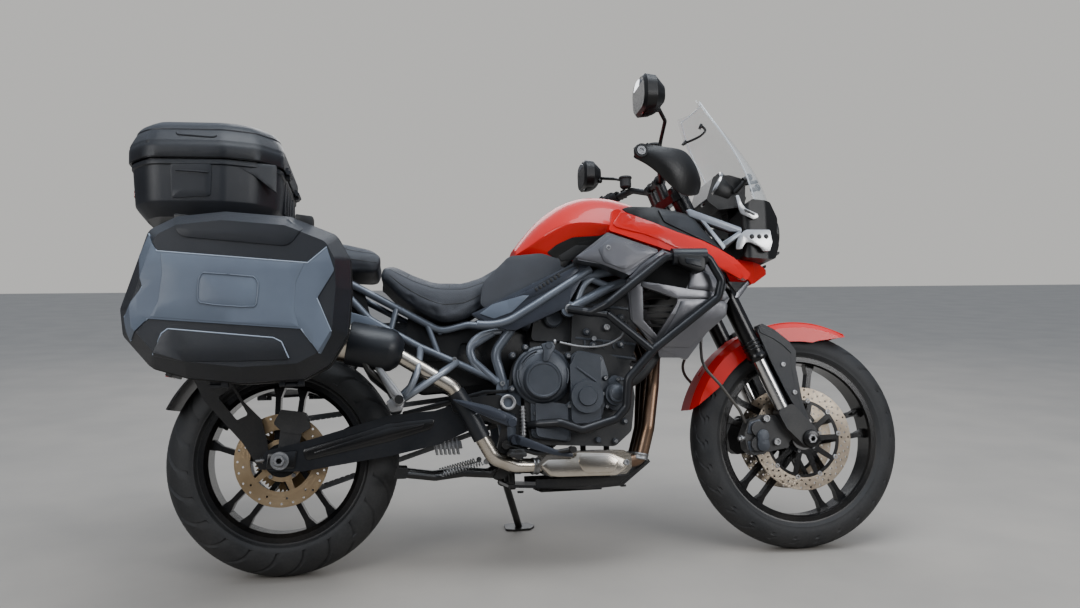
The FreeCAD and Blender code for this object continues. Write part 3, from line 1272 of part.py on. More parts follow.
top_lid = top_lid.cut(base_barrels)
piece("top_case_lid", *solids_of(top_lid))

# Rear mudguard behind the tyre, on an arm from the swingarm's right end

guard_arm = slab(((-100, 372), (-56, 300), (-30, 300), (-36, 372), (-52, 436), (-100, 486), (-172, 612),
                  (-238, 563), (-205, 492)), -REAR_ARM_IN - 8, -REAR_ARM_IN, 8)
guard_window = slab(((-168, 500), (-118, 436), (-88, 450), (-130, 524)), -200, 0, 6)
BLADE_IN = size("rear_tyre_radius") + 12
blade_face = Part.Face(Part.makePolygon([
    Vector(0, -REAR_ARM_IN - 6, BLADE_IN), Vector(0, REAR_ARM_IN - 6, BLADE_IN),
    Vector(0, REAR_ARM_IN - 6, BLADE_IN + 5), Vector(0, -REAR_ARM_IN - 6, BLADE_IN + 5),
    Vector(0, -REAR_ARM_IN - 6, BLADE_IN)]))
blade = blade_face.revolve(Vector(0, 0, 0), Y_AXIS, 34)
blade.rotate(Vector(0, 0, 0), Y_AXIS, -64)
blade.translate(REAR_AXLE)
mudguard = fuse(guard_arm.cut(guard_window), blade).cut([swingarm, silencer, rack])
piece("rear_mudguard", *solids_of(mudguard))

REAR_CALIPER = ((-20, 424), (0, 462), (66, 452), (80, 410), (50, 392), (4, 400))
rear_slot_low = REAR_DISC_PACK + size("disc_clearance")
rear_slot_high = size("rear_disc_spread") - size("rear_disc_thickness") / 2 - size("disc_clearance")
rear_caliper = slab(REAR_CALIPER, -112, -66, 8)
rear_room = Part.makeCylinder(size("rear_disc_radius") + size("disc_clearance"),
                              rear_slot_low - rear_slot_high,
                              REAR_AXLE - Y_AXIS * rear_slot_low, Y_AXIS)
caliper_bracket = slab(((-10, 335), (40, 335), (60, 410), (0, 420)), -REAR_ARM_IN - 10,
                       -REAR_ARM_IN, 4)
rear_caliper = fuse(rear_caliper, caliper_bracket).cut([rear_room, swingarm, mudguard])
piece("rear_caliper", *solids_of(rear_caliper))

# Crash bars and skid plate

CRASH = size("crash_tube_radius")
crash_parts = [
    tube([(806, -172, 722), (860, -218, 706), (900, -244, 726), (1072, -256, 857),
          (1196, -256, 858), (1236, -250, 790), (1224, -246, 742), (1192, -244, 718),
          (1034, -228, 600), (958, -214, 518), (952, -204, 440), (924, -198, 408),
          (824, -196, 379), (764, -190, 402), (706, -160, 400), (680, -130, 396)], CRASH, 26),
    rod((900, -236, 700), (1026, -228, 598), CRASH - 1),
    rod((840, -206, 712), (902, -238, 698), CRASH - 1)]
crash_pad = rod((1090, -256, 857.5), (1190, -256, 858), 24)
crash_bar = fuse(crash_parts[0], crash_parts[1], crash_parts[2], crash_pad)
crash_bar = crash_bar.cut([main_frame, engine_block, cowl, infill, trim, wing])
crash_right = Part.makeCompound(solids_of(crash_bar.cut([crank_cover, pump_cover, lower_cover])))
crash_left = carve(mirrored(crash_bar), generator_cover, sprocket_cover)
piece("crash_bars", *crash_right.Solids, *crash_left.Solids)

SKID = ((622, 225), (857, 212), (952, 218), (1036, 282), (1032, 290), (948, 226), (857, 220),
        (622, 233))
skid_plate = slab(SKID, -120, 120)
skid_walls = [slab(((700, 222), (940, 222), (1000, 266), (960, 246), (700, 244)), -124, -118),
              slab(((700, 222), (940, 222), (1000, 266), (960, 246), (700, 244)), 118, 124)]
skid_mounts = [rod((640, 60, 228), (640, 60, 280), 9), rod((640, -60, 228), (640, -60, 280), 9),
               rod((880, 80, 218), (880, 80, 334), 9), rod((940, 20, 222), (940, 20, 334), 9)]
skid_plate = fuse(skid_plate, *skid_walls, *skid_mounts).cut(
    [main_frame, engine_block, collector] + headers)
piece("skid_plate", *solids_of(skid_plate))

# Footrests, pedals and their brackets

peg_solids = []
for side in (-1, 1):
    plate_low, plate_high = sorted((side * 126.3, side * 138.0))
    bracket_outline = ((462, 476), (600, 486), (664, 450), (662, 300), (600, 272), (584, 300),
                       (606, 400), (470, 440))
    bracket_plate = slab(bracket_outline, plate_low, plate_high, 10)
    window = slab(((620, 440), (648, 430), (646, 330), (622, 330)), plate_low, plate_high, 6)
    peg = rod((639, side * 136, 317), (639, side * 236, 319), 13)
    pedal_x = 614
    pedal = tube([(pedal_x, side * 136, 345), (pedal_x, side * 168, 345)], 12)
    pedal_arm = tube([(pedal_x, side * 162, 345), (700, side * 168, 318), (760, side * 176, 322),
                      (795, side * 186, 327)], 6.5, 30)
    toe = rod((795, side * 172, 327), (795, side * 214, 327), 9)
    peg_solids.append(fuse(bracket_plate.cut(window), peg, pedal, pedal_arm, toe).cut(
        [main_frame, swingarm, link_pipe, crash_right, crash_left, collector,
         sprocket_cover, engine_block]))

pillion_pegs = []
for side in (-1, 1):
    stem_part = rod((321, side * 158, 480), (321, side * 170, 478), 14)
    step = rod((321, side * 168, 478), (321, side * 236, 476), 12)
    pillion_pegs += solids_of(fuse(stem_part, step).cut([subframe, silencer, rack, link_pipe]))
piece("footrests", *[solid for item in peg_solids for solid in solids_of(item)], *pillion_pegs)

# Stands: the side stand is down, the centre stand is folded up

STAND_PIVOT = Vector(640, 150, 244)
ground_foot = Vector(size("side_stand_ahead"), size("side_stand_reach"), 0)
FOOT = STRAIGHTEN.multVec(ground_foot)
foot_plate = plan_slab(((-46, -26), (-20, -36), (34, -30), (52, 0), (34, 30), (-20, 36),
                        (-46, 26)), 0, 7, 10)
foot_plate.Placement = Placement(FOOT, STRAIGHTEN)
leg_end = STRAIGHTEN.multVec(ground_foot + Z_AXIS * 4)
stand_leg = rod(STAND_PIVOT, leg_end, 11)
below_box = Part.makeBox(300, 300, 60)
below_box.Placement = Placement(
    STRAIGHTEN.multVec(ground_foot + Vector(-150, -150, -60)), STRAIGHTEN)
STAND_DOWN = unit(leg_end - STAND_PIVOT)
STAND_UP = unit(Vector(-1.0, 0.16, 0.05))
STAND_AXIS = unit(STAND_DOWN.cross(STAND_UP))
STAND_SWING = math.degrees(STAND_DOWN.getAngle(STAND_UP))
knuckle = Part.makeCylinder(17, 20, STAND_PIVOT - STAND_AXIS * 10, STAND_AXIS)
pin_hole = Part.makeCylinder(8, 30, STAND_PIVOT - STAND_AXIS * 15, STAND_AXIS)
side_stand = fuse(foot_plate, stand_leg, knuckle).cut([pin_hole, below_box])
piece("side_stand", *solids_of(side_stand))
bracket_pin = Part.makeCylinder(7.3, 40, STAND_PIVOT - STAND_AXIS * 20, STAND_AXIS)
bracket_far = Part.makeCylinder(18, 8, STAND_PIVOT - STAND_AXIS * 24, STAND_AXIS)
bracket_near = Part.makeCylinder(12, 6, STAND_PIVOT + STAND_AXIS * 16, STAND_AXIS)
bracket_arm = rod((648, 119, 276), tuple(STAND_PIVOT - STAND_AXIS * 20), 13)
stand_bracket = fuse(bracket_pin, bracket_far, bracket_near, bracket_arm)
leg_sweep = Part.makeCylinder(19, 24, STAND_PIVOT - STAND_AXIS * 12, STAND_AXIS)
leg_sweep = leg_sweep.cut(Part.makeCylinder(7.3, 24, STAND_PIVOT - STAND_AXIS * 12, STAND_AXIS))
stand_bracket = stand_bracket.cut([main_frame, leg_sweep] + peg_solids)

CENTRE_PIVOT = Vector(596, 0, 262)
centre_parts = []
for side in (-1, 1):
    leg = tube([(CENTRE_PIVOT.x, side * 88, CENTRE_PIVOT.z), (500, side * 92, 270),
                (419, side * 100, 262), (322, side * 118, 276)], 11, 40)
    knuckle_part = disc(Vector(CENTRE_PIVOT.x, side * 88, CENTRE_PIVOT.z), Y_AXIS, 16, 22)
    shoe = slab(((306, 262), (312, 292), (346, 290), (340, 262)), *sorted((side * 104, side * 134)), 5)
    centre_parts += [leg, knuckle_part, shoe]
cross_bar = rod((470, -97, 268), (470, 97, 268), 9)
stand_hole = rod((CENTRE_PIVOT.x, -120, CENTRE_PIVOT.z), (CENTRE_PIVOT.x, 120, CENTRE_PIVOT.z), 8)
centre_stand = fuse(cross_bar, *centre_parts).cut(stand_hole)
piece("centre_stand", *solids_of(centre_stand))
centre_pin = rod((CENTRE_PIVOT.x, -112, CENTRE_PIVOT.z), (CENTRE_PIVOT.x, 112, CENTRE_PIVOT.z), 7.3)
pin_ears = []
for side in (-1, 1):
    low, high = sorted((side * 104.5, side * 111.7))
    pin_ears.append(slab(((582, 252), (608, 250), (640, 270), (640, 300), (600, 284)), low, high, 4))
centre_bracket = fuse(centre_pin, *pin_ears).cut([main_frame] + peg_solids)
stand_brackets = fuse(stand_bracket, centre_bracket)
piece("stand_brackets", *solids_of(stand_brackets))

# Park the machine: lean it over and put the origin under the middle of its box

doc.recompute()
parked = []
for feature, local in PIECES:
    feature.Placement = Placement(Vector(0, 0, 0), LEAN_OVER).multiply(local)
    parked.append(feature.Shape.optimalBoundingBox(False))
low_x = min(box.XMin for box in parked)
high_x = max(box.XMax for box in parked)
low_y = min(box.YMin for box in parked)
high_y = max(box.YMax for box in parked)
low_z = min(box.ZMin for box in parked)
high_z = max(box.ZMax for box in parked)
ORIGIN = Vector((low_x + high_x) / 2, (low_y + high_y) / 2, 0)
PARKED = Placement(ORIGIN * -1, LEAN_OVER)
for feature, local in PIECES:
    feature.Placement = PARKED.multiply(local)
doc.recompute()

for item in doc.Objects:
    if "Invalid" in item.State or "Error" in item.State:
        raise RuntimeError(f"{item.Label} could not be built")
os.makedirs("parts", exist_ok=True)
for feature, local in PIECES:
    shape = feature.Shape
    if shape.isNull() or not shape.isValid() or shape.Volume <= 0:
        raise RuntimeError(f"{feature.Label} has no valid shape")
    shape.exportStep(f"parts/{feature.Label}.step")
print(f"{len(PIECES)} pieces, box {high_x - low_x:.1f} x {high_y - low_y:.1f} x "
      f"{high_z - low_z:.1f} mm, lowest point {low_z:.2f} mm, "
      f"origin at x {ORIGIN.x:.4f} y {ORIGIN.y:.4f}, side stand axis "
      f"{STAND_AXIS.x:.5f} {STAND_AXIS.y:.5f} {STAND_AXIS.z:.5f} swing {STAND_SWING:.2f}")
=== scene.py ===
import json
import math

import bmesh
import bpy
from mathutils import Matrix, Vector
from mathutils.bvhtree import BVHTree


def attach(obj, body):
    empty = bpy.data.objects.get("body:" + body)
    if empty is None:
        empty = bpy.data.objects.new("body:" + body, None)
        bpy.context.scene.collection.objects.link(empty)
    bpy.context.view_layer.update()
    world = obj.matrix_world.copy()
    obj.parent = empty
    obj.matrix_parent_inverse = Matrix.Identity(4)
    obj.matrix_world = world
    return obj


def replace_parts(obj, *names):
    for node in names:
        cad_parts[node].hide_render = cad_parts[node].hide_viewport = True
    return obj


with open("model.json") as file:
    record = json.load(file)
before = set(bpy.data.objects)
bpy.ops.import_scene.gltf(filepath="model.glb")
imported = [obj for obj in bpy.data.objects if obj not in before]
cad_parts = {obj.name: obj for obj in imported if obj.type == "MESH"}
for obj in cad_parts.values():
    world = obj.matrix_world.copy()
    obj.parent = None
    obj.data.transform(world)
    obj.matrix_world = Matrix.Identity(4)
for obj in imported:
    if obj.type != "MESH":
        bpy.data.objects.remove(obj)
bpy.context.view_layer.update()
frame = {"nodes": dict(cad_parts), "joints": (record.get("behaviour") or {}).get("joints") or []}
NODES = frame["nodes"]

# The machine is modelled upright in millimetres, x forward from the rear axle, y to the
# left, z up, and then leaned over and shifted to where the frame has it.
MM = 0.001
LEAN = math.radians(12.0)
REAR_AXLE = Vector((0.0, 0.0, 322.676))
FRONT_AXLE = Vector((1530.0, 0.0, 332.117))
RAKE = math.radians(23.9)
RIGHT, LEFT = Vector((0, -1, 0)), Vector((0, 1, 0))
UP, AHEAD = Vector((0, 0, 1)), Vector((1, 0, 0))
TIP = Matrix.Rotation(-LEAN, 4, "X")
rear_joint = next(j for j in frame["joints"] if j["name"] == "rear_wheel_spin")
SHIFT = Vector(rear_joint["pos_m"]) - TIP @ (REAR_AXLE * MM)
PARK = Matrix.Translation(SHIFT) @ TIP @ Matrix.Scale(MM, 4)


def linear(red, green, blue):
    """A colour given as it looks on a screen, 0 to 255, as the shader wants it."""
    channels = []
    for value in (red, green, blue):
        share = value / 255
        low = share <= 0.04045
        channels.append(share / 12.92 if low else ((share + 0.055) / 1.055) ** 2.4)
    return (*channels, 1.0)


# Shared effects as node groups

def new_group(name, inputs, outputs):
    tree = bpy.data.node_groups.new(name, "ShaderNodeTree")
    for kind, label, value in inputs:
        socket = tree.interface.new_socket(label, in_out="INPUT", socket_type=kind)
        if value is not None:
            socket.default_value = value
    for kind, label in outputs:
        tree.interface.new_socket(label, in_out="OUTPUT", socket_type=kind)
    start = tree.nodes.new("NodeGroupInput")
    return tree, start.outputs, tree.nodes.new("NodeGroupOutput").inputs


def put(tree, kind, **settings):
    node = tree.nodes.new("ShaderNode" + kind)
    for key, value in settings.items():
        setattr(node, key, value)
    return node


def feed(tree, socket, value):
    """Wire another node's output to a socket, or set its plain value."""
    if hasattr(value, "is_output"):
        tree.links.new(value, socket)
    else:
        socket.default_value = value


def feed_all(tree, node, **values):
    for name, value in values.items():
        feed(tree, node.inputs[name], value)
    return node.outputs


def stretched(tree, value, low, high, start=0.0, smooth=False):
    """The value from low to high, as a share from start to 1."""
    node = put(tree, "MapRange", interpolation_type="SMOOTHSTEP" if smooth else "LINEAR")
    made = feed_all(tree, node, **{"From Min": low, "From Max": high, "To Min": start})
    feed(tree, node.inputs["Value"], value)
    return made["Result"]


def noise_between(tree, vector, scale, detail, low, high):
    """Noise stretched so that values from low to high run from 0 to 1."""
    noise = feed_all(tree, put(tree, "TexNoise"), Detail=detail, Vector=vector, Scale=scale)
    return stretched(tree, noise["Fac"], low, high)


def times(tree, first, second, operation="MULTIPLY"):
    node = put(tree, "Math", operation=operation)
    feed(tree, node.inputs[0], first)
    feed(tree, node.inputs[1], second)
    return node.outputs[0]


def plus(tree, first, second):
    return times(tree, first, second, "ADD")


def weighed(tree, first, share, second, other):
    """The sum of two masks, each times its share."""
    return plus(tree, times(tree, first, share), times(tree, second, other))


def axes_of(tree, vector):
    return feed_all(tree, put(tree, "SeparateXYZ"), Vector=vector)


def blend_colours(tree, share, first, second):
    node = put(tree, "Mix", data_type="RGBA")
    feed(tree, node.inputs["Factor"], share)
    for name, value in (("A", first), ("B", second)):
        feed(tree, next(s for s in node.inputs if s.name == name and s.type == "RGBA"), value)
    return next(s for s in node.outputs if s.type == "RGBA")


FLOAT, COLOUR = "NodeSocketFloat", "NodeSocketColor"
VECTOR, SCALE = ("NodeSocketVector", "Vector", None), (FLOAT, "Scale", 900.0)
ROUGHNESS, RELIEF = (FLOAT, "Roughness"), ((FLOAT, "Height"), (FLOAT, "Mask"))


def build_road_dust():
    """Pale dust that lies thicker near the ground and in patches."""
    tree, given, made = new_group(
        "road_dust",
        (VECTOR, (COLOUR, "Color", (0.1, 0.1, 0.1, 1)), (COLOUR, "Dust", (0.3, 0.26, 0.2, 1)),
         (FLOAT, "Amount", 0.3), (*ROUGHNESS, 0.4)), ((COLOUR, "Color"), ROUGHNESS))
    low_down = stretched(tree, axes_of(tree, given["Vector"])["Z"], 0.75, 0.05, 0.25)
    patches = noise_between(tree, given["Vector"], 9.0, 6.0, 0.35, 0.72)
    specks = noise_between(tree, given["Vector"], 160.0, 3.0, 0.42, 0.66)
    cover = weighed(tree, patches, 0.7, specks, 0.3)
    share = times(tree, times(tree, cover, low_down), given["Amount"])
    feed(tree, made["Color"], blend_colours(tree, share, given["Color"], given["Dust"]))
    feed(tree, made["Roughness"], plus(tree, times(tree, share, 0.5), given["Roughness"]))
    return tree


def build_fine_grain():
    """The pebbled skin of a moulding, or the sand texture of a casting."""
    tree, given, made = new_group("fine_grain", (VECTOR, SCALE, (FLOAT, "Depth", 1.0)), RELIEF)
    cells = feed_all(tree, put(tree, "TexVoronoi", feature="SMOOTH_F1"), Vector=given["Vector"],
                     Scale=given["Scale"])
    coarse = noise_between(tree, given["Vector"], given["Scale"], 3.0, 0.3, 0.7)
    height = weighed(tree, cells["Distance"], 0.6, coarse, 0.4)
    feed(tree, made["Height"], times(tree, height, given["Depth"]))
    feed(tree, made["Mask"], coarse)
    return tree


def build_handling_marks():
    """Faint scratches and smears that change how a surface shines."""
    tree, given, made = new_group("handling_marks", (VECTOR, (*ROUGHNESS, 0.3), (FLOAT, "Amount", 0.1)),
                                  (ROUGHNESS, (FLOAT, "Height")))
    stretch = feed_all(tree, put(tree, "Mapping"), Scale=(3.0, 3.0, 60.0), Rotation=(0.3, 0.9, 0.2),
                       Vector=given["Vector"])
    lines = noise_between(tree, stretch["Vector"], 14.0, 5.0, 0.5, 0.75)
    smears = noise_between(tree, given["Vector"], 7.0, 4.0, 0.35, 0.75)
    both = weighed(tree, lines, 0.5, smears, 0.5)
    feed(tree, made["Roughness"], plus(tree, times(tree, both, given["Amount"]), given["Roughness"]))
    feed(tree, made["Height"], lines)
    return tree


def build_turned_rings():
    """The fine concentric lines of a part turned on a lathe or worn by brake pads."""
    tree, given, made = new_group("turned_rings", (VECTOR, SCALE), RELIEF)
    place = axes_of(tree, given["Vector"])
    square = plus(tree, times(tree, place["X"], place["X"]), times(tree, place["Z"], place["Z"]))
    root = put(tree, "Math", operation="SQRT")
    feed(tree, root.inputs[0], square)
    noise = feed_all(tree, put(tree, "TexNoise", noise_dimensions="1D"), Detail=4.0,
                     W=root.outputs[0], Scale=given["Scale"])
    feed(tree, made["Height"], noise["Fac"])
    feed(tree, made["Mask"], noise["Fac"])
    return tree


ROAD_DUST = build_road_dust()
FINE_GRAIN = build_fine_grain()
HANDLING = build_handling_marks()
RINGS = build_turned_rings()


class Finish:
    """One material: its Principled shader and short ways to feed it."""

    def __init__(self, name, base, rough, metal=0.0):
        self.material = bpy.data.materials.new(name)
        self.material.use_nodes = True
        self.tree = self.material.node_tree
        self.shader = next(n for n in self.tree.nodes if n.type == "BSDF_PRINCIPLED")
        self.place = put(self.tree, "TexCoord").outputs["Object"]
        self.base, self.rough = base, rough
        self.set("Base Color", base).set("Roughness", rough).set("Metallic", metal)

    def set(self, name, value):
        feed(self.tree, self.shader.inputs[name], value)
        return self

    def group(self, tree, place=None, **values):
        return feed_all(self.tree, put(self.tree, "Group", node_tree=tree),
                        Vector=place or self.place, **values)

    def bump(self, height, distance, strength=0.5):
        node = put(self.tree, "Bump")
        return self.set("Normal", feed_all(self.tree, node, Distance=distance, Strength=strength,
                                           Height=height)["Normal"])

    def drift(self, second, scale):
        """Two tones of one colour that drift into each other."""
        share = noise_between(self.tree, self.place, scale, 4.0, 0.35, 0.7)
        return blend_colours(self.tree, share, self.base, second)

    def dusty(self, colour, amount, dust=(0.32, 0.27, 0.21, 1.0)):
        made = self.group(ROAD_DUST, Dust=dust, Amount=amount, Roughness=self.rough, Color=colour)
        return self.set("Base Color", made["Color"]).set("Roughness", made["Roughness"])

    def marked(self, amount):
        made = self.group(HANDLING, Roughness=self.rough, Amount=amount)
        return self.set("Roughness", made["Roughness"])

    def grained(self, scale, distance, strength=0.5):
        return self.bump(self.group(FINE_GRAIN, Scale=scale)["Height"], distance, strength)

    def centred(self, centre):
        """Upright coordinates about a point of the machine, in metres."""
        place = -(Matrix.Rotation(LEAN, 3, "X") @ (PARK @ centre))
        return feed_all(self.tree, put(self.tree, "Mapping"), Rotation=(LEAN, 0.0, 0.0),
                        Location=place, Vector=self.place)["Vector"]


def gloss_paint(name, base, second):
    made = Finish(name, base, 0.36)
    made.set("Coat Weight", 0.38).set("Coat Roughness", 0.06).set("Specular IOR Level", 0.25)
    made.set("Base Color", made.drift(second, 5.0))
    return made.grained(220.0, 0.0002, 0.08).marked(0.10)


def satin_paint(name, base, second, rough, metal, dust, grain=1500.0):
    made = Finish(name, base, rough, metal)
    return made.dusty(made.drift(second, 11.0), dust).grained(grain, 0.0003, 0.25)


def casting(name, base, second, rough, metal, dust):
    made = Finish(name, base, rough, metal)
    return made.dusty(made.drift(second, 18.0), dust).grained(750.0, 0.0006, 0.6)


def moulded(name, base, second, rough, scale, depth, dust):
    made = Finish(name, base, rough).set("Specular IOR Level", 0.38)
    return made.dusty(made.drift(second, 8.0), dust).grained(scale, depth, 0.5)


def steel(name, base, second, rough, dust=0.0, centre=None):
    made = Finish(name, base, rough, 1.0)
    if dust:
        made.dusty(made.drift(second, 14.0), dust)
    else:
        made.set("Base Color", made.drift(second, 14.0)).marked(0.2)
    if centre is not None:
        made.bump(made.group(RINGS, made.centred(centre), Scale=1400.0)["Height"], 0.0004, 0.5)
    return made


def heat_tinted(name, base, hot, low, high):
    """Stainless pipe that goes from straw to brown along its height."""
    made = Finish(name, base, 0.33, 1.0)
    climb = stretched(made.tree, axes_of(made.tree, made.place)["Z"], low, high)
    blotches = noise_between(made.tree, made.place, 16.0, 5.0, 0.3, 0.7)
    share = weighed(made.tree, climb, 0.75, blotches, 0.25)
    made.dusty(blend_colours(made.tree, share, base, hot), 0.18)
    return made.grained(500.0, 0.0003, 0.2)


def leather(name, base, second):
    made = Finish(name, base, 0.5)
    made.set("Base Color", made.drift(second, 10.0)).marked(0.15)
    cells = feed_all(made.tree, put(made.tree, "TexVoronoi", feature="DISTANCE_TO_EDGE"),
                     Scale=620.0, Vector=made.place)
    return made.bump(stretched(made.tree, cells["Distance"], 0.0, 0.25, smooth=True), 0.0004, 0.55)


def rubber(name, base, second, rough, dust):
    made = Finish(name, base, rough)
    made.dusty(made.drift(second, 20.0), dust, linear(96, 92, 88))
    return made.grained(1300.0, 0.0004, 0.4)


def clear(name, base, second, alpha, rough=0.03):
    made = Finish(name, base, rough).set("Alpha", alpha).set("IOR", 1.49)
    return made.set("Coat Weight", 0.6).set("Coat Roughness", 0.02).marked(0.06)


# Each look: how it is made, its name, its two tones, and what that way of making still takes
LOOKS = (
    ("red", gloss_paint, "orange_red_gloss", (198, 10, 2), (206, 14, 3)),
    ("grey_panel", satin_paint, "titanium_grey_panels", (108, 108, 112), (118, 118, 121), 0.32, 0.8,
     0.05, 2200.0),
    ("frame", satin_paint, "steel_grey_frame", (92, 98, 107), (104, 110, 119), 0.34, 0.45, 0.05),
    ("light_frame", satin_paint, "pale_grey_frame", (122, 128, 137), (136, 141, 149), 0.34, 0.5, 0.05),
    ("gunmetal", satin_paint, "dark_grey_bars", (27, 29, 33), (36, 38, 42), 0.3, 0.4, 0.06),
    ("black", satin_paint, "satin_black_steel", (10, 10, 11), (15, 15, 16), 0.34, 0.0, 0.07),
    ("gloss_black", satin_paint, "gloss_black_wheels", (7, 7, 8), (10, 10, 12), 0.2, 0.0, 0.05),
    ("engine", casting, "black_casting", (20, 21, 23), (28, 29, 31), 0.45, 0.0, 0.1),
    ("cover", casting, "dark_grey_covers", (54, 58, 64), (64, 68, 75), 0.36, 0.35, 0.06),
    ("anodised", satin_paint, "black_fork_tubes", (10, 10, 12), (14, 14, 16), 0.22, 0.3, 0.04),
    ("chrome", steel, "hard_chrome", (206, 204, 202), (186, 184, 182), 0.12),
    ("alloy", casting, "silver_castings", (150, 150, 151), (130, 130, 131), 0.36, 0.9, 0.1),
    ("front_disc", steel, "ground_front_discs", (168, 156, 140), (140, 127, 112), 0.3, 0.05,
     FRONT_AXLE),
    ("rear_disc", steel, "ground_rear_disc", (182, 158, 126), (160, 136, 104), 0.32, 0.06, REAR_AXLE),
    ("headers", heat_tinted, "heat_tinted_headers", (128, 104, 86), (84, 62, 48), 0.2, 0.75),
    ("polished", steel, "polished_stainless", (208, 200, 188), (186, 176, 160), 0.16),
    ("tyre", rubber, "tyre_rubber", (15, 16, 18), (23, 24, 26), 0.62, 0.2),
    ("rubber", rubber, "black_rubber", (13, 13, 14), (18, 18, 19), 0.62, 0.06),
    ("seat", leather, "seat_vinyl", (41, 44, 50), (50, 53, 60)),
    ("plastic", moulded, "black_mouldings", (8, 8, 9), (13, 13, 14), 0.38, 1100.0, 0.0004, 0.06),
    ("blue_black", moulded, "blue_black_guards", (18, 20, 24), (24, 27, 32), 0.36, 1400.0, 0.0003,
     0.05),
    ("case", moulded, "charcoal_case_shell", (24, 26, 30), (31, 33, 38), 0.34, 1500.0, 0.0005, 0.05),
    ("slate", moulded, "slate_case_panel", (80, 88, 100), (88, 97, 109), 0.36, 1500.0, 0.0004, 0.05),
    # Lighter beads that lie on the case creases: a painted highlight where the crease edges catch the
    # light.
    ("slate_edge", moulded, "slate_case_creases", (136, 147, 162), (146, 157, 171), 0.3, 1500.0,
     0.0002, 0.02),
    ("screen", clear, "clear_screen", (214, 220, 224), None, 0.16),
    ("lens", clear, "clear_lens", (200, 206, 212), None, 0.3),
    ("red_lens", clear, "red_lamp_lens", (150, 8, 6), None, 0.85, 0.08),
    ("amber_lens", clear, "amber_lens", (226, 110, 10), None, 0.85, 0.08),
    ("white", satin_paint, "blank_white_plate", (214, 213, 208), (204, 203, 198), 0.4, 0.0, 0.1),
    ("lens_dark", moulded, "smoked_display", (9, 11, 14), (12, 14, 17), 0.08, 2000.0, 0.0001, 0.0),
    ("screen_edge", clear, "screen_edge_glow", (226, 232, 236), None, 0.5, 0.1),
    ("radiator_fin", casting, "dull_radiator_fins", (58, 58, 60), (44, 44, 46), 0.5, 0.7, 0.3),
    ("void", moulded, "duct_shadow", (2, 2, 3), (4, 4, 5), 0.95, 500.0, 0.0002, 0.0),
    ("dark_slate", satin_paint, "dark_slate_trims", (46, 50, 58), (56, 60, 69), 0.3, 0.4, 0.03, 2200.0),
    ("silver", satin_paint, "brushed_brackets", (206, 206, 206), (188, 188, 189), 0.28, 0.9, 0.02),
    ("mirror_glass", steel, "mirror_glass", (222, 226, 230), (216, 220, 226), 0.03),
    ("hose", satin_paint, "braided_hoses", (70, 68, 66), (92, 89, 85), 0.36, 0.5, 0.05),
    ("gold", steel, "dark_straw_parts", (150, 128, 96), (130, 108, 78), 0.3))
LOOK = {look: make(name, linear(*base), second and linear(*second), *rest).material
        for look, make, name, base, second, *rest in LOOKS}

NODES_BY_LOOK = {
    "tyre": "front_tyre rear_tyre", "gloss_black": "front_rim front_disc_carriers rear_rim",
    "front_disc": "front_discs", "rear_disc": "rear_disc", "gold": "rear_sprocket",
    "anodised": "fork_legs", "chrome": "fork_stanchions", "rubber": "hand_controls",
    "engine": "axle_clamps front_calipers rear_caliper engine_block",
    "black": "handlebar shock_absorber radiator luggage_rack skid_plate footrests side_stand "
             "centre_stand stand_brackets",
    "plastic": "mirrors handguards cockpit_stay headlight battery_box tail_fairing rear_mudguard",
    "red": "front_fender fuel_tank front_panels", "blue_black": "fork_guards",
    "hose": "brake_hoses", "frame": "main_frame rear_subframe", "gunmetal": "swingarm crash_bars",
    "alloy": "chain_drive", "cover": "clutch_cover engine_covers",
    "grey_panel": "radiator_cowls side_trims", "screen": "windscreen",
    "seat": "rider_seat pillion_seat", "headers": "exhaust_headers",
    "polished": "collector_and_link silencer",
    "case": "right_case_body right_case_lid left_case_body left_case_lid top_case_base top_case_lid"}
for look, nodes in NODES_BY_LOOK.items():
    for node in nodes.split():
        mesh = NODES[node].data
        mesh.materials.clear()
        mesh.materials.append(LOOK[look])

# How a new piece is made and kept

BEVEL = {"profile": 0.5, "affect": "EDGES", "material": -1}


def keep(mesh, name, look, body="chassis", angle=35.0, both=False):
    """Park a finished bmesh as a piece that rides on a body, on both sides if asked."""
    if both:
        both_sides(mesh)
    bmesh.ops.recalc_face_normals(mesh, faces=mesh.faces)
    mesh.transform(PARK)
    data = bpy.data.meshes.new(name)
    mesh.to_mesh(data)
    mesh.free()
    data.materials.append(LOOK[look])
    data.polygons.foreach_set("use_smooth", [True] * len(data.polygons))
    data.set_sharp_from_angle(angle=math.radians(angle))
    made = bpy.data.objects.new(name, data)
    bpy.context.scene.collection.objects.link(made)
    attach(made, body)
    return made


def verts_of(geometry):
    return [item for item in geometry if isinstance(item, bmesh.types.BMVert)]


def all_of(mesh):
    return mesh.verts[:] + mesh.edges[:] + mesh.faces[:]


def both_sides(mesh):
    """Add the mirror image across the middle plane."""
    copied = bmesh.ops.duplicate(mesh, geom=all_of(mesh))["geom"]
    faces = [item for item in copied if isinstance(item, bmesh.types.BMFace)]
    bmesh.ops.scale(mesh, vec=(1.0, -1.0, 1.0), verts=verts_of(copied))
    bmesh.ops.reverse_faces(mesh, faces=faces)


def to_left(mesh):
    """Turn a right-hand piece into the left-hand one."""
    bmesh.ops.scale(mesh, vec=(1.0, -1.0, 1.0), verts=mesh.verts)
    bmesh.ops.reverse_faces(mesh, faces=mesh.faces)


def rounder(made, levels):
    """A live Subdivision Surface on a kept piece."""
    smooth = made.modifiers.new("rounding", "SUBSURF")
    smooth.levels = smooth.render_levels = levels


def frame_at(place, way):
    """A placement whose z axis runs along the way given."""
    turn = Vector(way).to_track_quat("Z", "Y").to_matrix().to_4x4()
    return Matrix.Translation(Vector(place)) @ turn


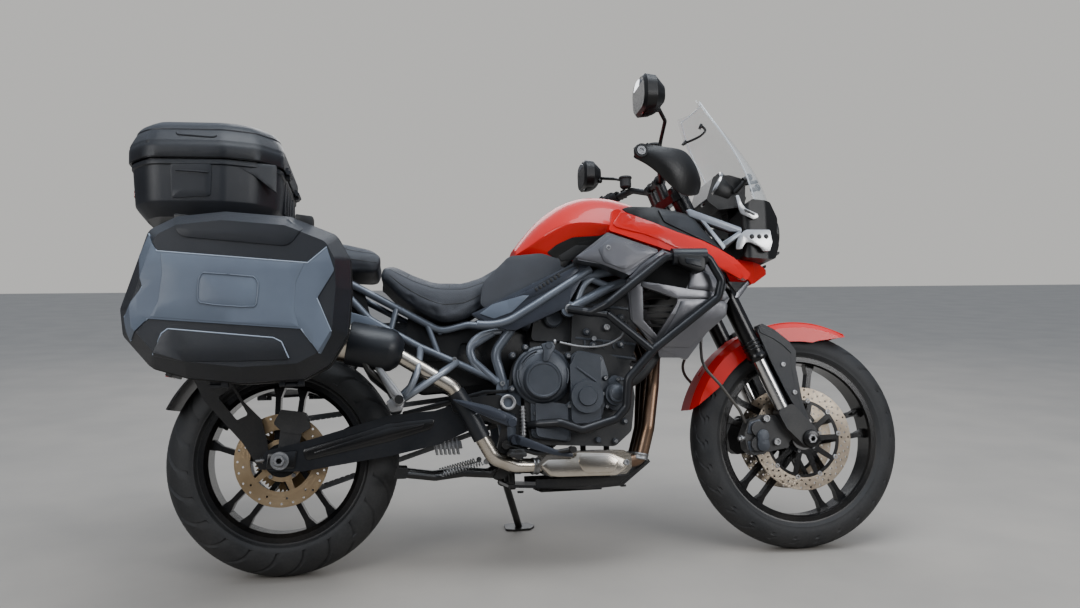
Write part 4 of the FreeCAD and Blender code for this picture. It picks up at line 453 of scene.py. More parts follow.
def absorb(mesh, part):
    """Move everything in one bmesh into another."""
    holder = bpy.data.meshes.new("holder")
    part.to_mesh(holder)
    part.free()
    mesh.from_mesh(holder)
    bpy.data.meshes.remove(holder)


def slab(mesh, points, offset, axis, corner, edge, steps):
    """A face grown by an offset along one axis, with its corners and rims rounded."""
    before = set(mesh.edges)
    face = mesh.faces.new([mesh.verts.new(point) for point in points])
    grown = bmesh.ops.extrude_face_region(mesh, geom=[face])["geom"]
    bmesh.ops.translate(mesh, vec=offset, verts=verts_of(grown))

    def rise(item):
        return abs(item.verts[0].co[axis] - item.verts[1].co[axis])

    if corner:
        upright = [item for item in mesh.edges
                   if item not in before and rise(item) > 0.5 * abs(offset[axis])]
        bmesh.ops.bevel(mesh, geom=upright, offset=corner, segments=steps, clamp_overlap=True, **BEVEL)
    if edge:
        rim = [item for item in mesh.edges
               if item not in before and rise(item) < 0.01 and item.is_manifold]
        bmesh.ops.bevel(mesh, geom=rim, offset=edge, segments=2, clamp_overlap=True, **BEVEL)


def plate(mesh, outline, y_low, y_high, corner=0.0, edge=0.0):
    """A side outline given thickness across the machine."""
    y_low, y_high = sorted((y_low, y_high))
    slab(mesh, [(x, y_low, z) for x, z in outline], Vector((0, y_high - y_low, 0)), 1, corner, edge, 3)


def plate_on(mesh, outline, place, way, depth, corner=0.0, edge=0.0, turn=0.0):
    """A flat outline of two coordinates, given depth along any way from a place."""
    part = bmesh.new()
    slab(part, [(u, v, 0.0) for u, v in outline], Vector((0, 0, depth)), 2, corner, edge, 4)
    part.transform(frame_at(place, way) @ Matrix.Rotation(turn, 4, "Z"))
    absorb(mesh, part)


def block_on(mesh, half_u, half_v, place, way, depth, corner=0.0, edge=0.0):
    """A rectangular plate_on, given by its half sides."""
    plate_on(mesh, ((-half_u, -half_v), (half_u, -half_v), (half_u, half_v), (-half_u, half_v)),
             place, way, depth, corner, edge)


def turned(mesh, profile, place, way, steps=32):
    """A shape turned about the way given; the profile lists radius and distance along."""
    part = bmesh.new()
    verts = [part.verts.new((radius, 0.0, along)) for radius, along in profile]
    edges = [part.edges.new(pair) for pair in zip(verts, verts[1:])]
    bmesh.ops.spin(part, geom=verts + edges, cent=(0, 0, 0), axis=(0, 0, 1),
                   angle=math.tau, steps=steps, use_merge=True, dvec=(0, 0, 0))
    bmesh.ops.remove_doubles(part, verts=part.verts, dist=0.001)
    bmesh.ops.recalc_face_normals(part, faces=part.faces)
    part.transform(frame_at(place, way))
    absorb(mesh, part)


def cap_bolt(mesh, place, way, radius, height=4.0, steps=14):
    """A round bolt head with a socket."""
    turned(mesh, ((0, height * 0.35), (radius * 0.48, height * 0.35), (radius * 0.52, height),
                  (radius * 0.86, height), (radius, height * 0.78), (radius, -1.0), (0, -1.0)),
           place, way, steps)


def hex_bolt(mesh, place, way, radius, height=6.0):
    """A six-sided bolt head on a washer."""
    turned(mesh, ((0, 1.6), (radius * 1.35, 1.6), (radius * 1.35, -0.5), (0, -0.5)), place, way, 20)
    part = bmesh.new()
    bmesh.ops.create_cone(part, cap_ends=True, cap_tris=False, segments=6, radius1=radius,
                          radius2=radius, depth=height)
    rim = [e for e in part.edges if min(v.co.z for v in e.verts) > 0]
    bmesh.ops.bevel(part, geom=rim, offset=radius * 0.12, segments=1, **BEVEL)
    part.transform(frame_at(place, way) @ Matrix.Translation((0, 0, height / 2 + 1.5)))
    absorb(mesh, part)


def bar(mesh, points, radius, order=3, steps=10, rings=8):
    """A round bar, cable or pipe that follows a smooth line through the points."""
    curve = bpy.data.curves.new("line", "CURVE")
    curve.dimensions = "3D"
    curve.bevel_depth = radius
    curve.bevel_resolution = max(1, rings // 4)
    curve.resolution_u = steps
    curve.use_fill_caps = True
    spline = curve.splines.new("NURBS")
    spline.points.add(len(points) - 1)
    for point, place in zip(spline.points, points):
        point.co = (*place, 1.0)
    spline.order_u = order
    spline.use_endpoint_u = True
    holder = bpy.data.objects.new("line", curve)
    shape = bpy.data.meshes.new_from_object(holder)
    mesh.from_mesh(shape)
    bpy.data.meshes.remove(shape)
    bpy.data.objects.remove(holder)
    bpy.data.curves.remove(curve)


def at_side(points, side):
    """The points given for the left side, on the side asked for."""
    return [(x, side * y, z) for x, y, z in points]


def aim(angle):
    """A level way in the side view, turned up from straight ahead by an angle."""
    return Vector((math.cos(angle), 0, math.sin(angle)))


def around(centre, radius, degrees, across):
    angle = math.radians(degrees)
    return Vector((centre.x + radius * math.cos(angle), across, centre.z + radius * math.sin(angle)))


AHEAD_OF_FORK = aim(RAKE)
UP_THE_FORK = Vector((-math.sin(RAKE), 0, math.cos(RAKE)))
STEER_FOOT = FRONT_AXLE - AHEAD_OF_FORK * 50.0


def fork_point(ahead, across, along):
    """A point ahead of the steering axis, to the left and up along it."""
    return STEER_FOOT + AHEAD_OF_FORK * ahead + UP_THE_FORK * along + Vector((0, across, 0))


def rounded(outline, radius, steps=4):
    """The outline with each corner replaced by an arc of points."""
    result = []
    for index, point in enumerate(outline):
        corner = Vector(point)
        back = Vector(outline[index - 1]) - corner
        on = Vector(outline[(index + 1) % len(outline)]) - corner
        reach = min(radius / math.tan(back.angle(on) / 2), 0.45 * back.length, 0.45 * on.length)
        first, last = corner + back.normalized() * reach, corner + on.normalized() * reach
        for step in range(steps + 1):
            share = step / steps
            result.append(first * (1 - share) ** 2 + corner * (2 * share * (1 - share))
                          + last * share ** 2)
    return [(point.x, point.y) for point in result]


def inset(outline, by):
    """A convex outline with every side drawn in by the same distance."""
    area = sum(a[0] * b[1] - b[0] * a[1] for a, b in zip(outline, outline[1:] + outline[:1]))
    turn = 1.0 if area > 0 else -1.0
    result = []
    for index, point in enumerate(outline):
        here = Vector(point)
        way_in = (here - Vector(outline[index - 1])).normalized()
        way_out = (Vector(outline[(index + 1) % len(outline)]) - here).normalized()
        inward = (Vector((-way_in.y - way_out.y, way_in.x + way_out.x)) * turn).normalized()
        moved = here + inward * (by / math.cos(way_in.angle(way_out) / 2))
        result.append((moved.x, moved.y))
    return result


def ladder(value, stops):
    """Straight-line lookup: each stop pairs a place with a number or a row of numbers."""
    if value <= stops[0][0]:
        return stops[0][1]
    for (low, first), (high, second) in zip(stops, stops[1:]):
        if value <= high:
            share = (value - low) / (high - low)
            if isinstance(first, tuple):
                return tuple(a + (b - a) * share for a, b in zip(first, second))
            return first + (second - first) * share
    return stops[-1][1]


def panel(mesh, outline, half_at, outward, depth, corner=6.0, edge=1.5, step=26.0, folds=()):
    """A thin moulding that follows the right flank; half_at gives the flank's half width.

    Folds are pairs of points in x and z where the flank bends sharply."""
    part = bmesh.new()
    part.faces.new([part.verts.new((x, 0.0, z)) for x, z in outline])
    if corner:
        bmesh.ops.bevel(part, geom=part.verts[:], offset=corner, segments=4, profile=0.5,
                        affect="VERTICES", material=-1, clamp_overlap=True)
    cuts = []
    for axis in (0, 2):
        spots = [vert.co[axis] for vert in part.verts]
        place = (min(spots) // step + 1) * step
        normal = Vector((axis == 0, 0, axis == 2))
        while place < max(spots):
            cuts.append((normal * place, normal))
            place += step
    for first, second in folds:
        run = Vector(second) - Vector(first)
        cuts.append(((first[0], 0, first[1]), (-run.y, 0, run.x)))
    for place, normal in cuts:
        bmesh.ops.bisect_plane(part, geom=all_of(part), dist=0.01, plane_co=place, plane_no=normal)
    for vert in part.verts:
        vert.co.y = -half_at(vert.co.x, vert.co.z) - outward
    outer = set(part.verts)
    geometry = bmesh.ops.extrude_face_region(part, geom=part.faces[:])["geom"]
    bmesh.ops.translate(part, vec=(0, depth, 0), verts=verts_of(geometry))
    if edge:
        rim = [e for e in part.edges if set(e.verts) <= outer
               and any(not set(f.verts) <= outer for f in e.link_faces)]
        bmesh.ops.bevel(part, geom=rim, offset=edge, segments=2, clamp_overlap=True, **BEVEL)
    absorb(mesh, part)


def rings_of(mesh, loops, closed):
    """Closed loops of points joined one to the next, and the last to the first if closed."""
    rows = [[mesh.verts.new(point) for point in loop] for loop in loops]
    for first, second in zip(rows, rows[1:] + rows[:closed]):
        for index in range(len(first)):
            after = (index + 1) % len(first)
            mesh.faces.new((first[index], first[after], second[after], second[index]))
    return rows


# Tyres with their tread

def treaded_tyre(name, body, node, axle, profile, pitches, per_pitch, sweep, rows, deep):
    """A tyre spun from its half section, with slanting grooves pressed into the tread.

    The profile runs from the crown to the bead as distance across and radius; rows are
    the first and last row of quads that a groove takes in."""
    mesh = bmesh.new()
    points = [(-across, radius) for across, radius in reversed(profile)] + list(profile[1:])
    verts = [mesh.verts.new((0.0, across, radius)) for across, radius in points]
    edges = [mesh.edges.new(pair) for pair in zip(verts, verts[1:] + verts[:1])]
    steps = pitches * per_pitch
    bmesh.ops.spin(mesh, geom=verts + edges, cent=(0, 0, 0), axis=(0, 1, 0),
                   angle=math.tau, steps=steps, use_merge=True, dvec=(0, 0, 0))
    bmesh.ops.remove_doubles(mesh, verts=mesh.verts, dist=0.001)
    bmesh.ops.recalc_face_normals(mesh, faces=mesh.faces)
    edges_across = [across for across, radius in profile]
    grooves = {}
    for face in mesh.faces:
        middle = face.calc_center_median()
        if math.hypot(middle.x, middle.z) < profile[rows[1] + 1][1] - 1:
            continue
        column = int((math.degrees(math.atan2(middle.z, middle.x)) % 360) / (360 / steps))
        row = next((i for i in range(len(edges_across) - 1)
                    if edges_across[i] < abs(middle.y) < edges_across[i + 1]), None)
        side = 1 if middle.y > 0 else 0
        phase = (column + side * per_pitch // 2) % per_pitch
        longer = (column // per_pitch) % 2
        if row is None or phase != 0 or not rows[0] + longer <= row <= rows[1]:
            continue
        grooves.setdefault((column, side), []).append(face)
    for faces in grooves.values():
        bmesh.ops.inset_region(mesh, faces=faces, thickness=4.2, depth=0.0,
                               use_even_offset=True, use_boundary=True)
        for vert in {v for f in faces for v in f.verts}:
            vert.co -= vert.normal * deep
    for vert in mesh.verts:
        turn = math.radians(sweep) * (abs(vert.co.y) / edges_across[-4]) ** 1.3
        x, z = vert.co.x, vert.co.z
        vert.co.x = x * math.cos(turn) - z * math.sin(turn)
        vert.co.z = x * math.sin(turn) + z * math.cos(turn)
    bmesh.ops.translate(mesh, vec=axle, verts=mesh.verts)
    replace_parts(keep(mesh, name, "tyre", body, angle=28), node)


FRONT_SECTION = (
    (0.0, 331.0), (7.0, 330.6), (14.0, 329.2), (21.0, 326.6), (28.0, 322.6), (34.5, 317.2),
    (40.0, 310.6), (44.5, 303.0), (48.0, 293.0), (49.8, 282.5), (49.4, 273.0), (47.5, 266.0),
    (47.8, 264.5), (45.5, 259.0), (43.2, 255.5), (42.4, 254.0), (36.6, 253.8), (36.2, 242.0))
REAR_SECTION = (
    (0.0, 321.0), (10.0, 320.4), (20.5, 318.3), (31.0, 314.4), (41.5, 308.4), (51.5, 300.2),
    (60.0, 290.4), (67.0, 278.8), (72.0, 266.0), (74.8, 251.0), (74.6, 243.0), (72.0, 238.0),
    (72.4, 236.5), (68.0, 233.6), (62.0, 232.4), (60.6, 231.6), (54.6, 231.3), (54.2, 219.5))
treaded_tyre("front_tyre_treaded", "front_wheel", "front_tyre", FRONT_AXLE, FRONT_SECTION,
             26, 5, 13.0, (1, 7), 3.5)
treaded_tyre("rear_tyre_treaded", "rear_wheel", "rear_tyre", REAR_AXLE, REAR_SECTION,
             22, 5, 15.0, (1, 8), 4.5)

# Wheels: rim lips, valves, disc buttons and hub caps

def wheel_details(name, body, axle, seat_radius, half_lip, valve_angle):
    mesh = bmesh.new()
    lip = seat_radius + 13
    for side in (-1, 1):
        turned(mesh, ((lip - 6, -2.0), (lip + 0.6, -1.6), (lip + 1.5, 0.3), (lip + 0.2, 1.6),
                      (lip - 4, 1.2), (lip - 13, -2.0), (lip - 22, -9.0), (lip - 22, -14.0),
                      (lip - 6, -2.0)), axle + LEFT * side * half_lip, LEFT * side, 96)
    outward = -aim(math.radians(valve_angle))
    turned(mesh, ((0, 34), (3.0, 34), (4.0, 30), (4.0, 18), (3.0, 17), (3.0, 6), (6.5, 4),
                  (7.5, -4), (0, -4)), axle - outward * (seat_radius - 14) + RIGHT * 6,
           (outward + RIGHT * 0.9).normalized(), 16)
    keep(mesh, name, "black", body)


wheel_details("front_rim_lips", "front_wheel", FRONT_AXLE, 241.0, 40.5, 20.0)
wheel_details("rear_rim_lips", "rear_wheel", REAR_AXLE, 218.5, 58.5, 150.0)

mesh = bmesh.new()
for side in (-1, 1):
    way = LEFT * side
    for index in range(10):
        turned(mesh, ((3.0, 4.2), (6.5, 4.2), (7.4, 3.2), (7.4, -3.2), (6.5, -4.2), (3.0, -4.2),
                      (3.0, 4.2)), around(FRONT_AXLE, 116.0, 36.0 * index + 6, side * 65.0), way, 16)
    for index in range(5):
        cap_bolt(mesh, around(FRONT_AXLE, 40.0, 72.0 * index + 30, side * 67.3), way, 5.0, 5.0)
    turned(mesh, ((34, -14), (34, 2.5), (30, 5.0), (18, 6.0), (14.4, 5.0), (14.4, -14)),
           FRONT_AXLE + way * 67.0, way, 40)
keep(mesh, "front_disc_buttons", "alloy", "front_wheel")
mesh = bmesh.new()
for index in range(5):
    cap_bolt(mesh, around(REAR_AXLE, 52.0, 72.0 * index + 20, -86.5), RIGHT, 6.0, 5.0)
keep(mesh, "rear_disc_bolts", "alloy", "rear_wheel")

# Side cases: the raised cross of the lid, its blank badge, handles and mounts

CASE_OUTLINE = [(-274, 892), (-210, 926), (-96, 939), (60, 926), (172, 880), (203, 820),
                (206, 740), (196, 630), (152, 556), (90, 524), (-50, 518), (-180, 534),
                (-262, 560), (-326, 636), (-334, 700)]
CROSS = ((-269, 880), (-241, 830), (106, 800), (151, 839), (169, 782), (128, 714), (162, 629),
         (135, 578), (91, 640), (-258, 669), (-306, 620), (-320, 674), (-271, 745), (-294, 826))
CROSS_FIELD = ((-232, 826), (98, 798), (78, 751), (75, 680), (86, 644), (-252, 673),
               (-235, 708), (-227, 777))
CROWN_PANEL = ((-208, 921), (-195, 874), (-182, 864), (51, 842), (68, 850), (96, 890),
               (58, 916), (-96, 930))
FOOT_PANEL = ((-247, 582), (-226, 634), (-212, 645), (27, 620), (46, 610), (64, 568), (50, 567),
              (-50, 566), (-178, 568))
CREASES = (((-269, 880), (-241, 830), (106, 800), (151, 839)), ((91, 640), (133, 582)),
           ((128, 714), (161, 633)), ((-304, 622), (-258, 669)), ((-318, 677), (-271, 745)),
           ((-246, 585), (-226, 634), (-212, 645), (27, 620), (46, 610), (63, 571)))
BADGE = ((-134, 777), (-20, 767), (-8, 756), (-11, 702), (-20, 692), (-136, 702), (-147, 713),
         (-144, 767))
CASE_OUT, CASE_RIM, CHAMFER = 495.0, 442.0, 34.0


def case_half(x, z):
    """Half width of a side case lid: flat in the middle, falling away near its rim."""
    depth = 1000.0
    for first, second in zip(CASE_OUTLINE, CASE_OUTLINE[1:] + CASE_OUTLINE[:1]):
        run = Vector(second) - Vector(first)
        across = run.x * (z - first[1]) - run.y * (x - first[0])
        depth = min(depth, -across / run.length)
    return CASE_OUT - max(0.0, CHAMFER - depth) * (CASE_OUT - CASE_RIM) / CHAMFER


RIDGE = inset(CASE_OUTLINE, 34)
RIDGES = list(zip(RIDGE, RIDGE[1:] + RIDGE[:1]))


def case_belt(mesh, stops):
    """A band round a case: each stop is how far the outline is drawn in, and where across."""
    rings_of(mesh, [[(x, y, z) for x, z in rounded(inset(CASE_OUTLINE, by), 28, 6)]
                    for by, y in stops], True)


for side, word in ((-1, "right"), (1, "left")):
    cross, field, edges, badge, plates, seal, shell = (bmesh.new() for count in range(7))
    panel(cross, CROSS, case_half, 3.2, 6.0, 5.0, 2.2, 40.0, RIDGES)
    panel(field, CROSS_FIELD, case_half, 4.4, 4.0, 4.0, 1.2, 60.0)
    panel(badge, BADGE, case_half, 5.2, 2.0, 3.0, 0.8, 90.0)
    ring = [(x, -case_half(x, z) - 5.6, z) for x, z in BADGE]
    bar(badge, ring + ring[:2], 1.7, 2, 2, 8)
    # Thin beads along the creases in a lighter slate: a painted highlight on the crease edges.
    for crease in CREASES:
        line = [(x, -case_half(x, z) - 2.9, z) for x, z in crease]
        for pair in zip(line, line[1:]):
            bar(edges, pair, 1.5, 2, 4, 6)
    panel(plates, CROWN_PANEL, case_half, 3.0, 6.0, 9.0, 2.0, 40.0, RIDGES)
    panel(plates, FOOT_PANEL, case_half, 3.0, 6.0, 10.0, 2.6, 40.0, RIDGES)
    case_belt(seal, ((-0.8, -399.2), (-2.6, -401.0), (-2.6, -410.0), (-0.8, -412.0), (3.0, -412.0),
                     (3.0, -399.2)))
    for x in (-196.0, 92.0):
        plate(seal, ((x - 22, 900), (x - 22, 936), (x + 22, 930), (x + 22, 896)), -436, -404, 5, 2)
    case_belt(shell, ((-0.6, -396.8), (-2.4, -395.0), (-2.4, -386.0), (-0.6, -384.0),
                      (3.0, -384.0), (3.0, -396.8)))
    for x in (-240, -170, -100, -30, 40, 110):
        plate(shell, ((x, 600), (x, 860), (x + 9, 860), (x + 9, 600)), -252, -246.5, 2, 1)
    bar(shell, ((-96, -338, 926), (-96, -338, 946), (-80, -338, 952), (20, -338, 944),
                (38, -338, 938), (38, -338, 918)), 7.5, 3, 6, 12)
    plate(shell, ((-62, 930), (-60, 945), (2, 940), (0, 925)), -392, -352, 6, 2)
    cap_bolt(shell, (-30, -372, 942), UP, 9, 4)
    for mesh, name, look in ((cross, "cross", "slate"), (field, "cross_field", "slate"),
                             (edges, "cross_crease_painted_highlights", "slate_edge"), (badge, "blank_badge", "slate"),
                             (plates, "lid_panels", "case"), (seal, "lid_rim", "plastic"),
                             (shell, "handle_and_ribs", "plastic")):
        if side > 0:
            to_left(mesh)
        body = "chassis" if mesh is shell else f"{word}_lid"
        keep(mesh, f"{word}_case_{name}", look, body)

# Top case: bands round it, the side pads, the crown and the lock

TOP_PLAN = [(14, -190), (14, 190), (-48, 262), (-130, 290), (-322, 290), (-380, 230), (-388, 150),
            (-388, -150), (-380, -230), (-322, -290), (-130, -290), (-48, -262)]
TOP_REAR, TOP_FRONT = -388.4, 14.4
LID_SKIN = ((0.6, 1121.6), (-3.4, 1121.8), (-4.6, 1123.5), (-5.0, 1148), (-4.8, 1157), (-3.2, 1160),
            (-3.2, 1166), (-1.8, 1170), (6.2, 1187), (11.6, 1197.5), (13.2, 1199.5), (12.8, 1203),
            (17.6, 1211), (24, 1217.5), (38, 1226), (52, 1233.4), (64, 1237.6), (70, 1238.6),
            (73, 1237.4), (70.6, 1236.8), (22.8, 1208.8), (0.8, 1165.6))
BASE_SKIN = ((7.0, 1117.4), (3.2, 1116), (2.6, 1112), (2.8, 1105), (6.4, 1102), (6.6, 1096),
             (13.6, 1010), (14.8, 1005), (40, 974), (43, 971.6), (47.5, 973.6), (19.4, 1006.6),
             (10.2, 1116))
CROWN = ((-296, -176), (-296, 176), (-250, 214), (-110, 214), (-66, 170), (-66, -170), (-110, -214),
         (-250, -214))


def top_skin(mesh, stops):
    """A skin round the top case, each stop an inset of its plan at a height."""
    rings_of(mesh, [[(min(max(x, TOP_REAR), TOP_FRONT), y, z)
                     for x, y in rounded(inset(TOP_PLAN, by), 75, 8)] for by, z in stops], True)


mesh = bmesh.new()
top_skin(mesh, LID_SKIN)
plate_on(mesh, CROWN, (0, 0, 1234), UP, 6.5, 14, 2.5, math.pi)
for y in (-150, 110):
    plate_on(mesh, ((-280, y), (-280, y + 40), (-96, y + 40), (-96, y)), (0, 0, 1238), UP, 5, 8, 2,
             math.pi)
for side in (-1, 1):
    bar(mesh, at_side(((-250, 283, 1190), (-246, 286, 1184), (-156, 289, 1177), (-148, 287, 1182)),
                      side), 2.6, 2, 6, 8)
keep(mesh, "top_case_lid_skin", "case", "top_lid")

mesh = bmesh.new()
for side in (-1, 1):
    part = bmesh.new()
    panel(part, ((-258, 1112), (-166, 1112), (-160, 1096), (-163, 1020), (-260, 1014),
                 (-264, 1096)), lambda x, z: 272 + (z - 1006) * 0.079, 6.5, 9.0, 8, 2)
    plate(part, ((-250, 1086), (-168, 1081), (-168, 1084.5), (-250, 1089.5)), -289, -282)
    panel(part, ((-120, 1117), (-100, 1104), (-52, 1080), (-16, 1052), (0, 1040), (0, 1117)),
          lambda x, z: 277.0 if x < -126 else 277 - (x + 126) * 0.36, 6.0, 9.0, 5, 2, 14)
    if side > 0:
        to_left(part)
    absorb(mesh, part)
top_skin(mesh, BASE_SKIN)
for y in (-96, -32, 32, 96):
    plate_on(mesh, ((-50, -5), (48, -5), (48, 5), (-50, 5)), (1, y, 1060), AHEAD, 9, 4, 2,
             math.pi / 2)
keep(mesh, "top_case_base_skin", "case")

mesh = bmesh.new()
plate_on(mesh, ((-46, -30), (46, -30), (38, 34), (-38, 34)), (-376, 0, 1088), -AHEAD, 9.5, 8, 3)
cap_bolt(mesh, (-384, 0, 1078), -AHEAD, 10, 4)
keep(mesh, "top_case_lock", "black")
mesh = bmesh.new()
for side in (-1, 1):
    block_on(mesh, 62, 11, (-374, side * 118, 1050), -AHEAD, 6, 5, 1.5)
keep(mesh, "top_case_reflectors", "red_lens")

# Engine, right side: clutch cover, bolts and bosses, water pump, lines

CLUTCH_BOLTS = ((641, 595), (678, 617), (800, 590), (808, 535), (809, 500), (773, 446), (636, 500))
CRANK_BOLTS = ((836, 592), (889, 579), (905, 524), (895, 479), (875, 423), (819, 404), (797, 447))
PUMP_BOLTS = ((942, 520), (962, 498), (907, 443), (968, 452))
SUMP_BOLTS = ((700, 430), (786, 360), (930, 345), (960, 400))
HEAD_BOLTS = ((860, 660), (964, 700), (880, 720), (878, 622), (960, 622))
INLETS = (-86, 0, 86)


def bolts_on(mesh, places, across, radius, way=RIGHT, height=4.5, steps=12):
    for x, z in places:
        cap_bolt(mesh, (x, across, z), way, radius, height, steps)


def bosses_on(mesh, places, start, end, radius):
    for x, z in places:
        turned(mesh, ((0, end), (radius - 1.5, end), (radius, end - 1.5), (radius * 1.15, start),
                      (0, start)), (x, 0, z), RIGHT, 14)


mesh = bmesh.new()
turned(mesh, ((0, 176), (58, 176), (63, 173), (69, 171.5), (74, 167), (78, 156), (84, 152),
              (85, 149), (85, 138), (0, 138)), (724, 0, 536), RIGHT, 64)
turned(mesh, ((0, 192), (43, 192), (45, 194), (49, 194), (52, 191), (54, 184), (57, 170), (0, 170)),
       (721, 0, 522), RIGHT, 64)
for radius, first, last in ((71, 104, 150), (64, 112, 165), (74, 168, 205), (71, -20, 15)):
    bar(mesh, [around(Vector((724, 0, 536)), radius, first + (last - first) * k / 6, -172.5)
               for k in range(7)], 2.6, 3, 4, 8)
plate(mesh, ((716, 622), (750, 629), (757, 613), (734, 572), (721, 572), (724, 600)), -197, -184, 4, 2)
turned(mesh, ((0, 199), (9, 199), (11, 196), (11, 150), (0, 150)), (738, 0, 618), RIGHT, 20)
bosses_on(mesh, CLUTCH_BOLTS, 138, 157, 9)
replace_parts(keep(mesh, "clutch_cover_casting", "cover"), "clutch_cover")

mesh = bmesh.new()
plate(mesh, ((792, 388), (886, 398), (908, 470), (916, 530), (900, 590), (830, 606), (806, 590),
             (812, 470), (784, 450)), -158, -136, 10, 2)
plate(mesh, ((688, 362), (800, 346), (800, 440), (688, 470)), -150, -136, 12, 2)
bosses_on(mesh, CRANK_BOLTS, 138, 163, 8)
bosses_on(mesh, PUMP_BOLTS, 138, 158, 7.5)
bosses_on(mesh, ((700, 430), (700, 376), (786, 360), (930, 345), (880, 350), (960, 400)), 138, 152, 8)
bar(mesh, ((819, -176, 556), (845, -177, 536), (873, -176, 515)), 3.4, 2, 3, 8)
turned(mesh, ((0, 191.5), (21, 191.5), (23, 193), (26, 193), (28, 190), (28, 170), (0, 170)),
       (846, 0, 473), RIGHT, 40)
turned(mesh, ((40, 176), (41, 180), (45, 180), (47, 176), (47, 170), (40, 170)), (846, 0, 473),
       RIGHT, 48)
turned(mesh, ((0, 187), (10, 186), (20, 182), (28, 175), (33, 164), (36, 150), (36, 138),
              (0, 138)), (936, 0, 480), RIGHT, 40)
plate(mesh, ((900, 452), (924, 430), (966, 436), (978, 470), (970, 520), (930, 534), (902, 510)),
      -156, -136, 8, 2)
# Head and cylinder ledges, cam cover, plugs
for low, high, across in ((598, 606, 134.5), (640, 647, 134.0), (742, 750, 135.0)):
    plate(mesh, ((828, low), (1004, low - 22), (1004, high - 22), (828, high)), -across, across, 3, 1)
plate(mesh, ((850, 800), (990, 796), (978, 812), (862, 818)), -112, 112, 6, 3)
bosses_on(mesh, ((860, 660), (920, 672), *HEAD_BOLTS[1:]), 130, 142, 10)
for x in (852, 880, 908, 936, 964):
    plate(mesh, ((x, 612), (x, 636), (x + 5, 636), (x + 5, 611)), -136, -131)
# Throttle bodies and their linkage
for y in INLETS:
    turned(mesh, ((0, 58), (30, 58), (33, 52), (30, 46), (30, 20), (34, 14), (34, 0), (0, 0)),
           (706, y, 700), Vector((-0.94, 0, 0.34)), 24)
turned(mesh, ((0, 10), (22, 10), (27, 6), (24, 3), (27, 0), (27, -8), (0, -8)), (768, -110, 704),
       RIGHT, 32)
keep(mesh, "engine_castings", "cover")

mesh = bmesh.new()
for places, across, radius in ((CLUTCH_BOLTS, 156.5, 5.6), (CRANK_BOLTS, 162.5, 5.4),
                               (PUMP_BOLTS, 157.5, 5.0), (SUMP_BOLTS, 151.5, 5.0),
                               (((920, 672),), 142, 9.5), (HEAD_BOLTS, 142, 4.6)):
    bolts_on(mesh, places, -across, radius)
turned(mesh, ((0, 4), (7, 4), (7, -48), (0, -48)), (880, -142, 640), RIGHT, 12)
bar(mesh, ((772, -182, 627), (812, -184, 616), (854, -184, 611), (900, -182, 614), (934, -176, 628),
           (966, -160, 648), (980, -134, 690)), 3.4, 3, 8, 8)
turned(mesh, ((0, 3), (8, 3), (8, -3), (0, -3)), (756, -190, 627), AHEAD, 16)
keep(mesh, "engine_bolts_and_pipe", "alloy")

mesh = bmesh.new()
HEAD_HOSE = ((982, 84, 742), (1020, 96, 764), (1068, 110, 774), (1118, 120, 770))
for line, radius, steps, rings in (
        (((948, -160, 500), (990, -168, 512), (1040, -160, 560), (1086, -140, 628), (1128, -136, 668)),
         15, 8, 16),
        (at_side(HEAD_HOSE, -1), 14, 6, 16),
        (((846, -118, 716), (806, -124, 708), (770, -114, 730), (748, -120, 770), (800, -130, 800),
          (900, -120, 822)), 4, 8, 8),
        (((700, -112, 620), (668, -120, 596), (640, -126, 560), (634, -124, 500)), 6, 8, 8),
        (((836, 120, 780), (780, 124, 740), (730, 122, 680), (700, 120, 620)), 6, 8, 8),
        (HEAD_HOSE, 14, 6, 16)):
    bar(mesh, line, radius, 3, steps, rings)
for place in ((952, -160, 501), (1120, -137, 661), (986, -86, 744), (1108, -118, 771)):
    turned(mesh, ((14, 5), (18, 5), (18.6, 0), (18, -5), (14, -5)), place, (0.8, 0.1, 0.5), 20)
turned(mesh, ((0, 20), (30, 20), (34, 14), (34, -16), (0, -16)), (690, -92, 392), RIGHT, 24)
keep(mesh, "hoses_and_cables", "rubber")

# Exhaust: polished shield, clamps, silencer bands, outlet and mount

mesh = bmesh.new()
plate(mesh, ((709, 284), (732, 301), (805, 304), (812, 318), (911, 312), (946, 296), (966, 286),
             (951, 266), (926, 249), (757, 251), (734, 256)), -163, -152, 7, 4)
plate(mesh, ((822, 314), (908, 308), (936, 290), (918, 258), (834, 258), (816, 286)), -166, -158, 10, 5)
keep(mesh, "collector_shield", "polished")

SILENCER_FRONT = Vector((300, -178, 612))
SILENCER_WAY = (Vector((-140, -186, 706)) - SILENCER_FRONT).normalized()
PORT_WAY = (1, 0, -0.16)
mesh = bmesh.new()
cap_bolt(mesh, (955, -162, 285), RIGHT, 9, 6)
for place, way in (((1003, -134, 300), (-0.2, 0, -1)), ((1003, -92, 300), (-0.2, 0, -1)),
                   ((1003, -50, 300), (-0.2, 0, -1)), ((700, -114, 282), (-0.9, -0.2, 0.05)),
                   ((318, -178, 600), (-0.83, 0, 0.57)), ((520, -171, 422), (-0.38, -0.05, 0.9))):
    turned(mesh, ((18, 9), (23.5, 9), (24.5, 6), (23, 3), (23, -3), (24.5, -6), (23.5, -9), (18, -9)),
           place, way, 32)
for y in INLETS:
    turned(mesh, ((19, 6), (30, 6), (31, 4), (31, -3), (19, -3)), (994, y, 685), PORT_WAY, 28)
    for offset in (-25, 25):
        hex_bolt(mesh, (1001, y + offset, 685), PORT_WAY, 6)
for along in (40, 56, 200, 404, 420):
    turned(mesh, ((54, 4), (56.2, 4), (56.8, 2), (56.8, -2), (56.2, -4), (54, -4)),
           SILENCER_FRONT + SILENCER_WAY * along, SILENCER_WAY, 48)
side = SILENCER_WAY.cross(UP).normalized()
over = SILENCER_WAY.cross(side)
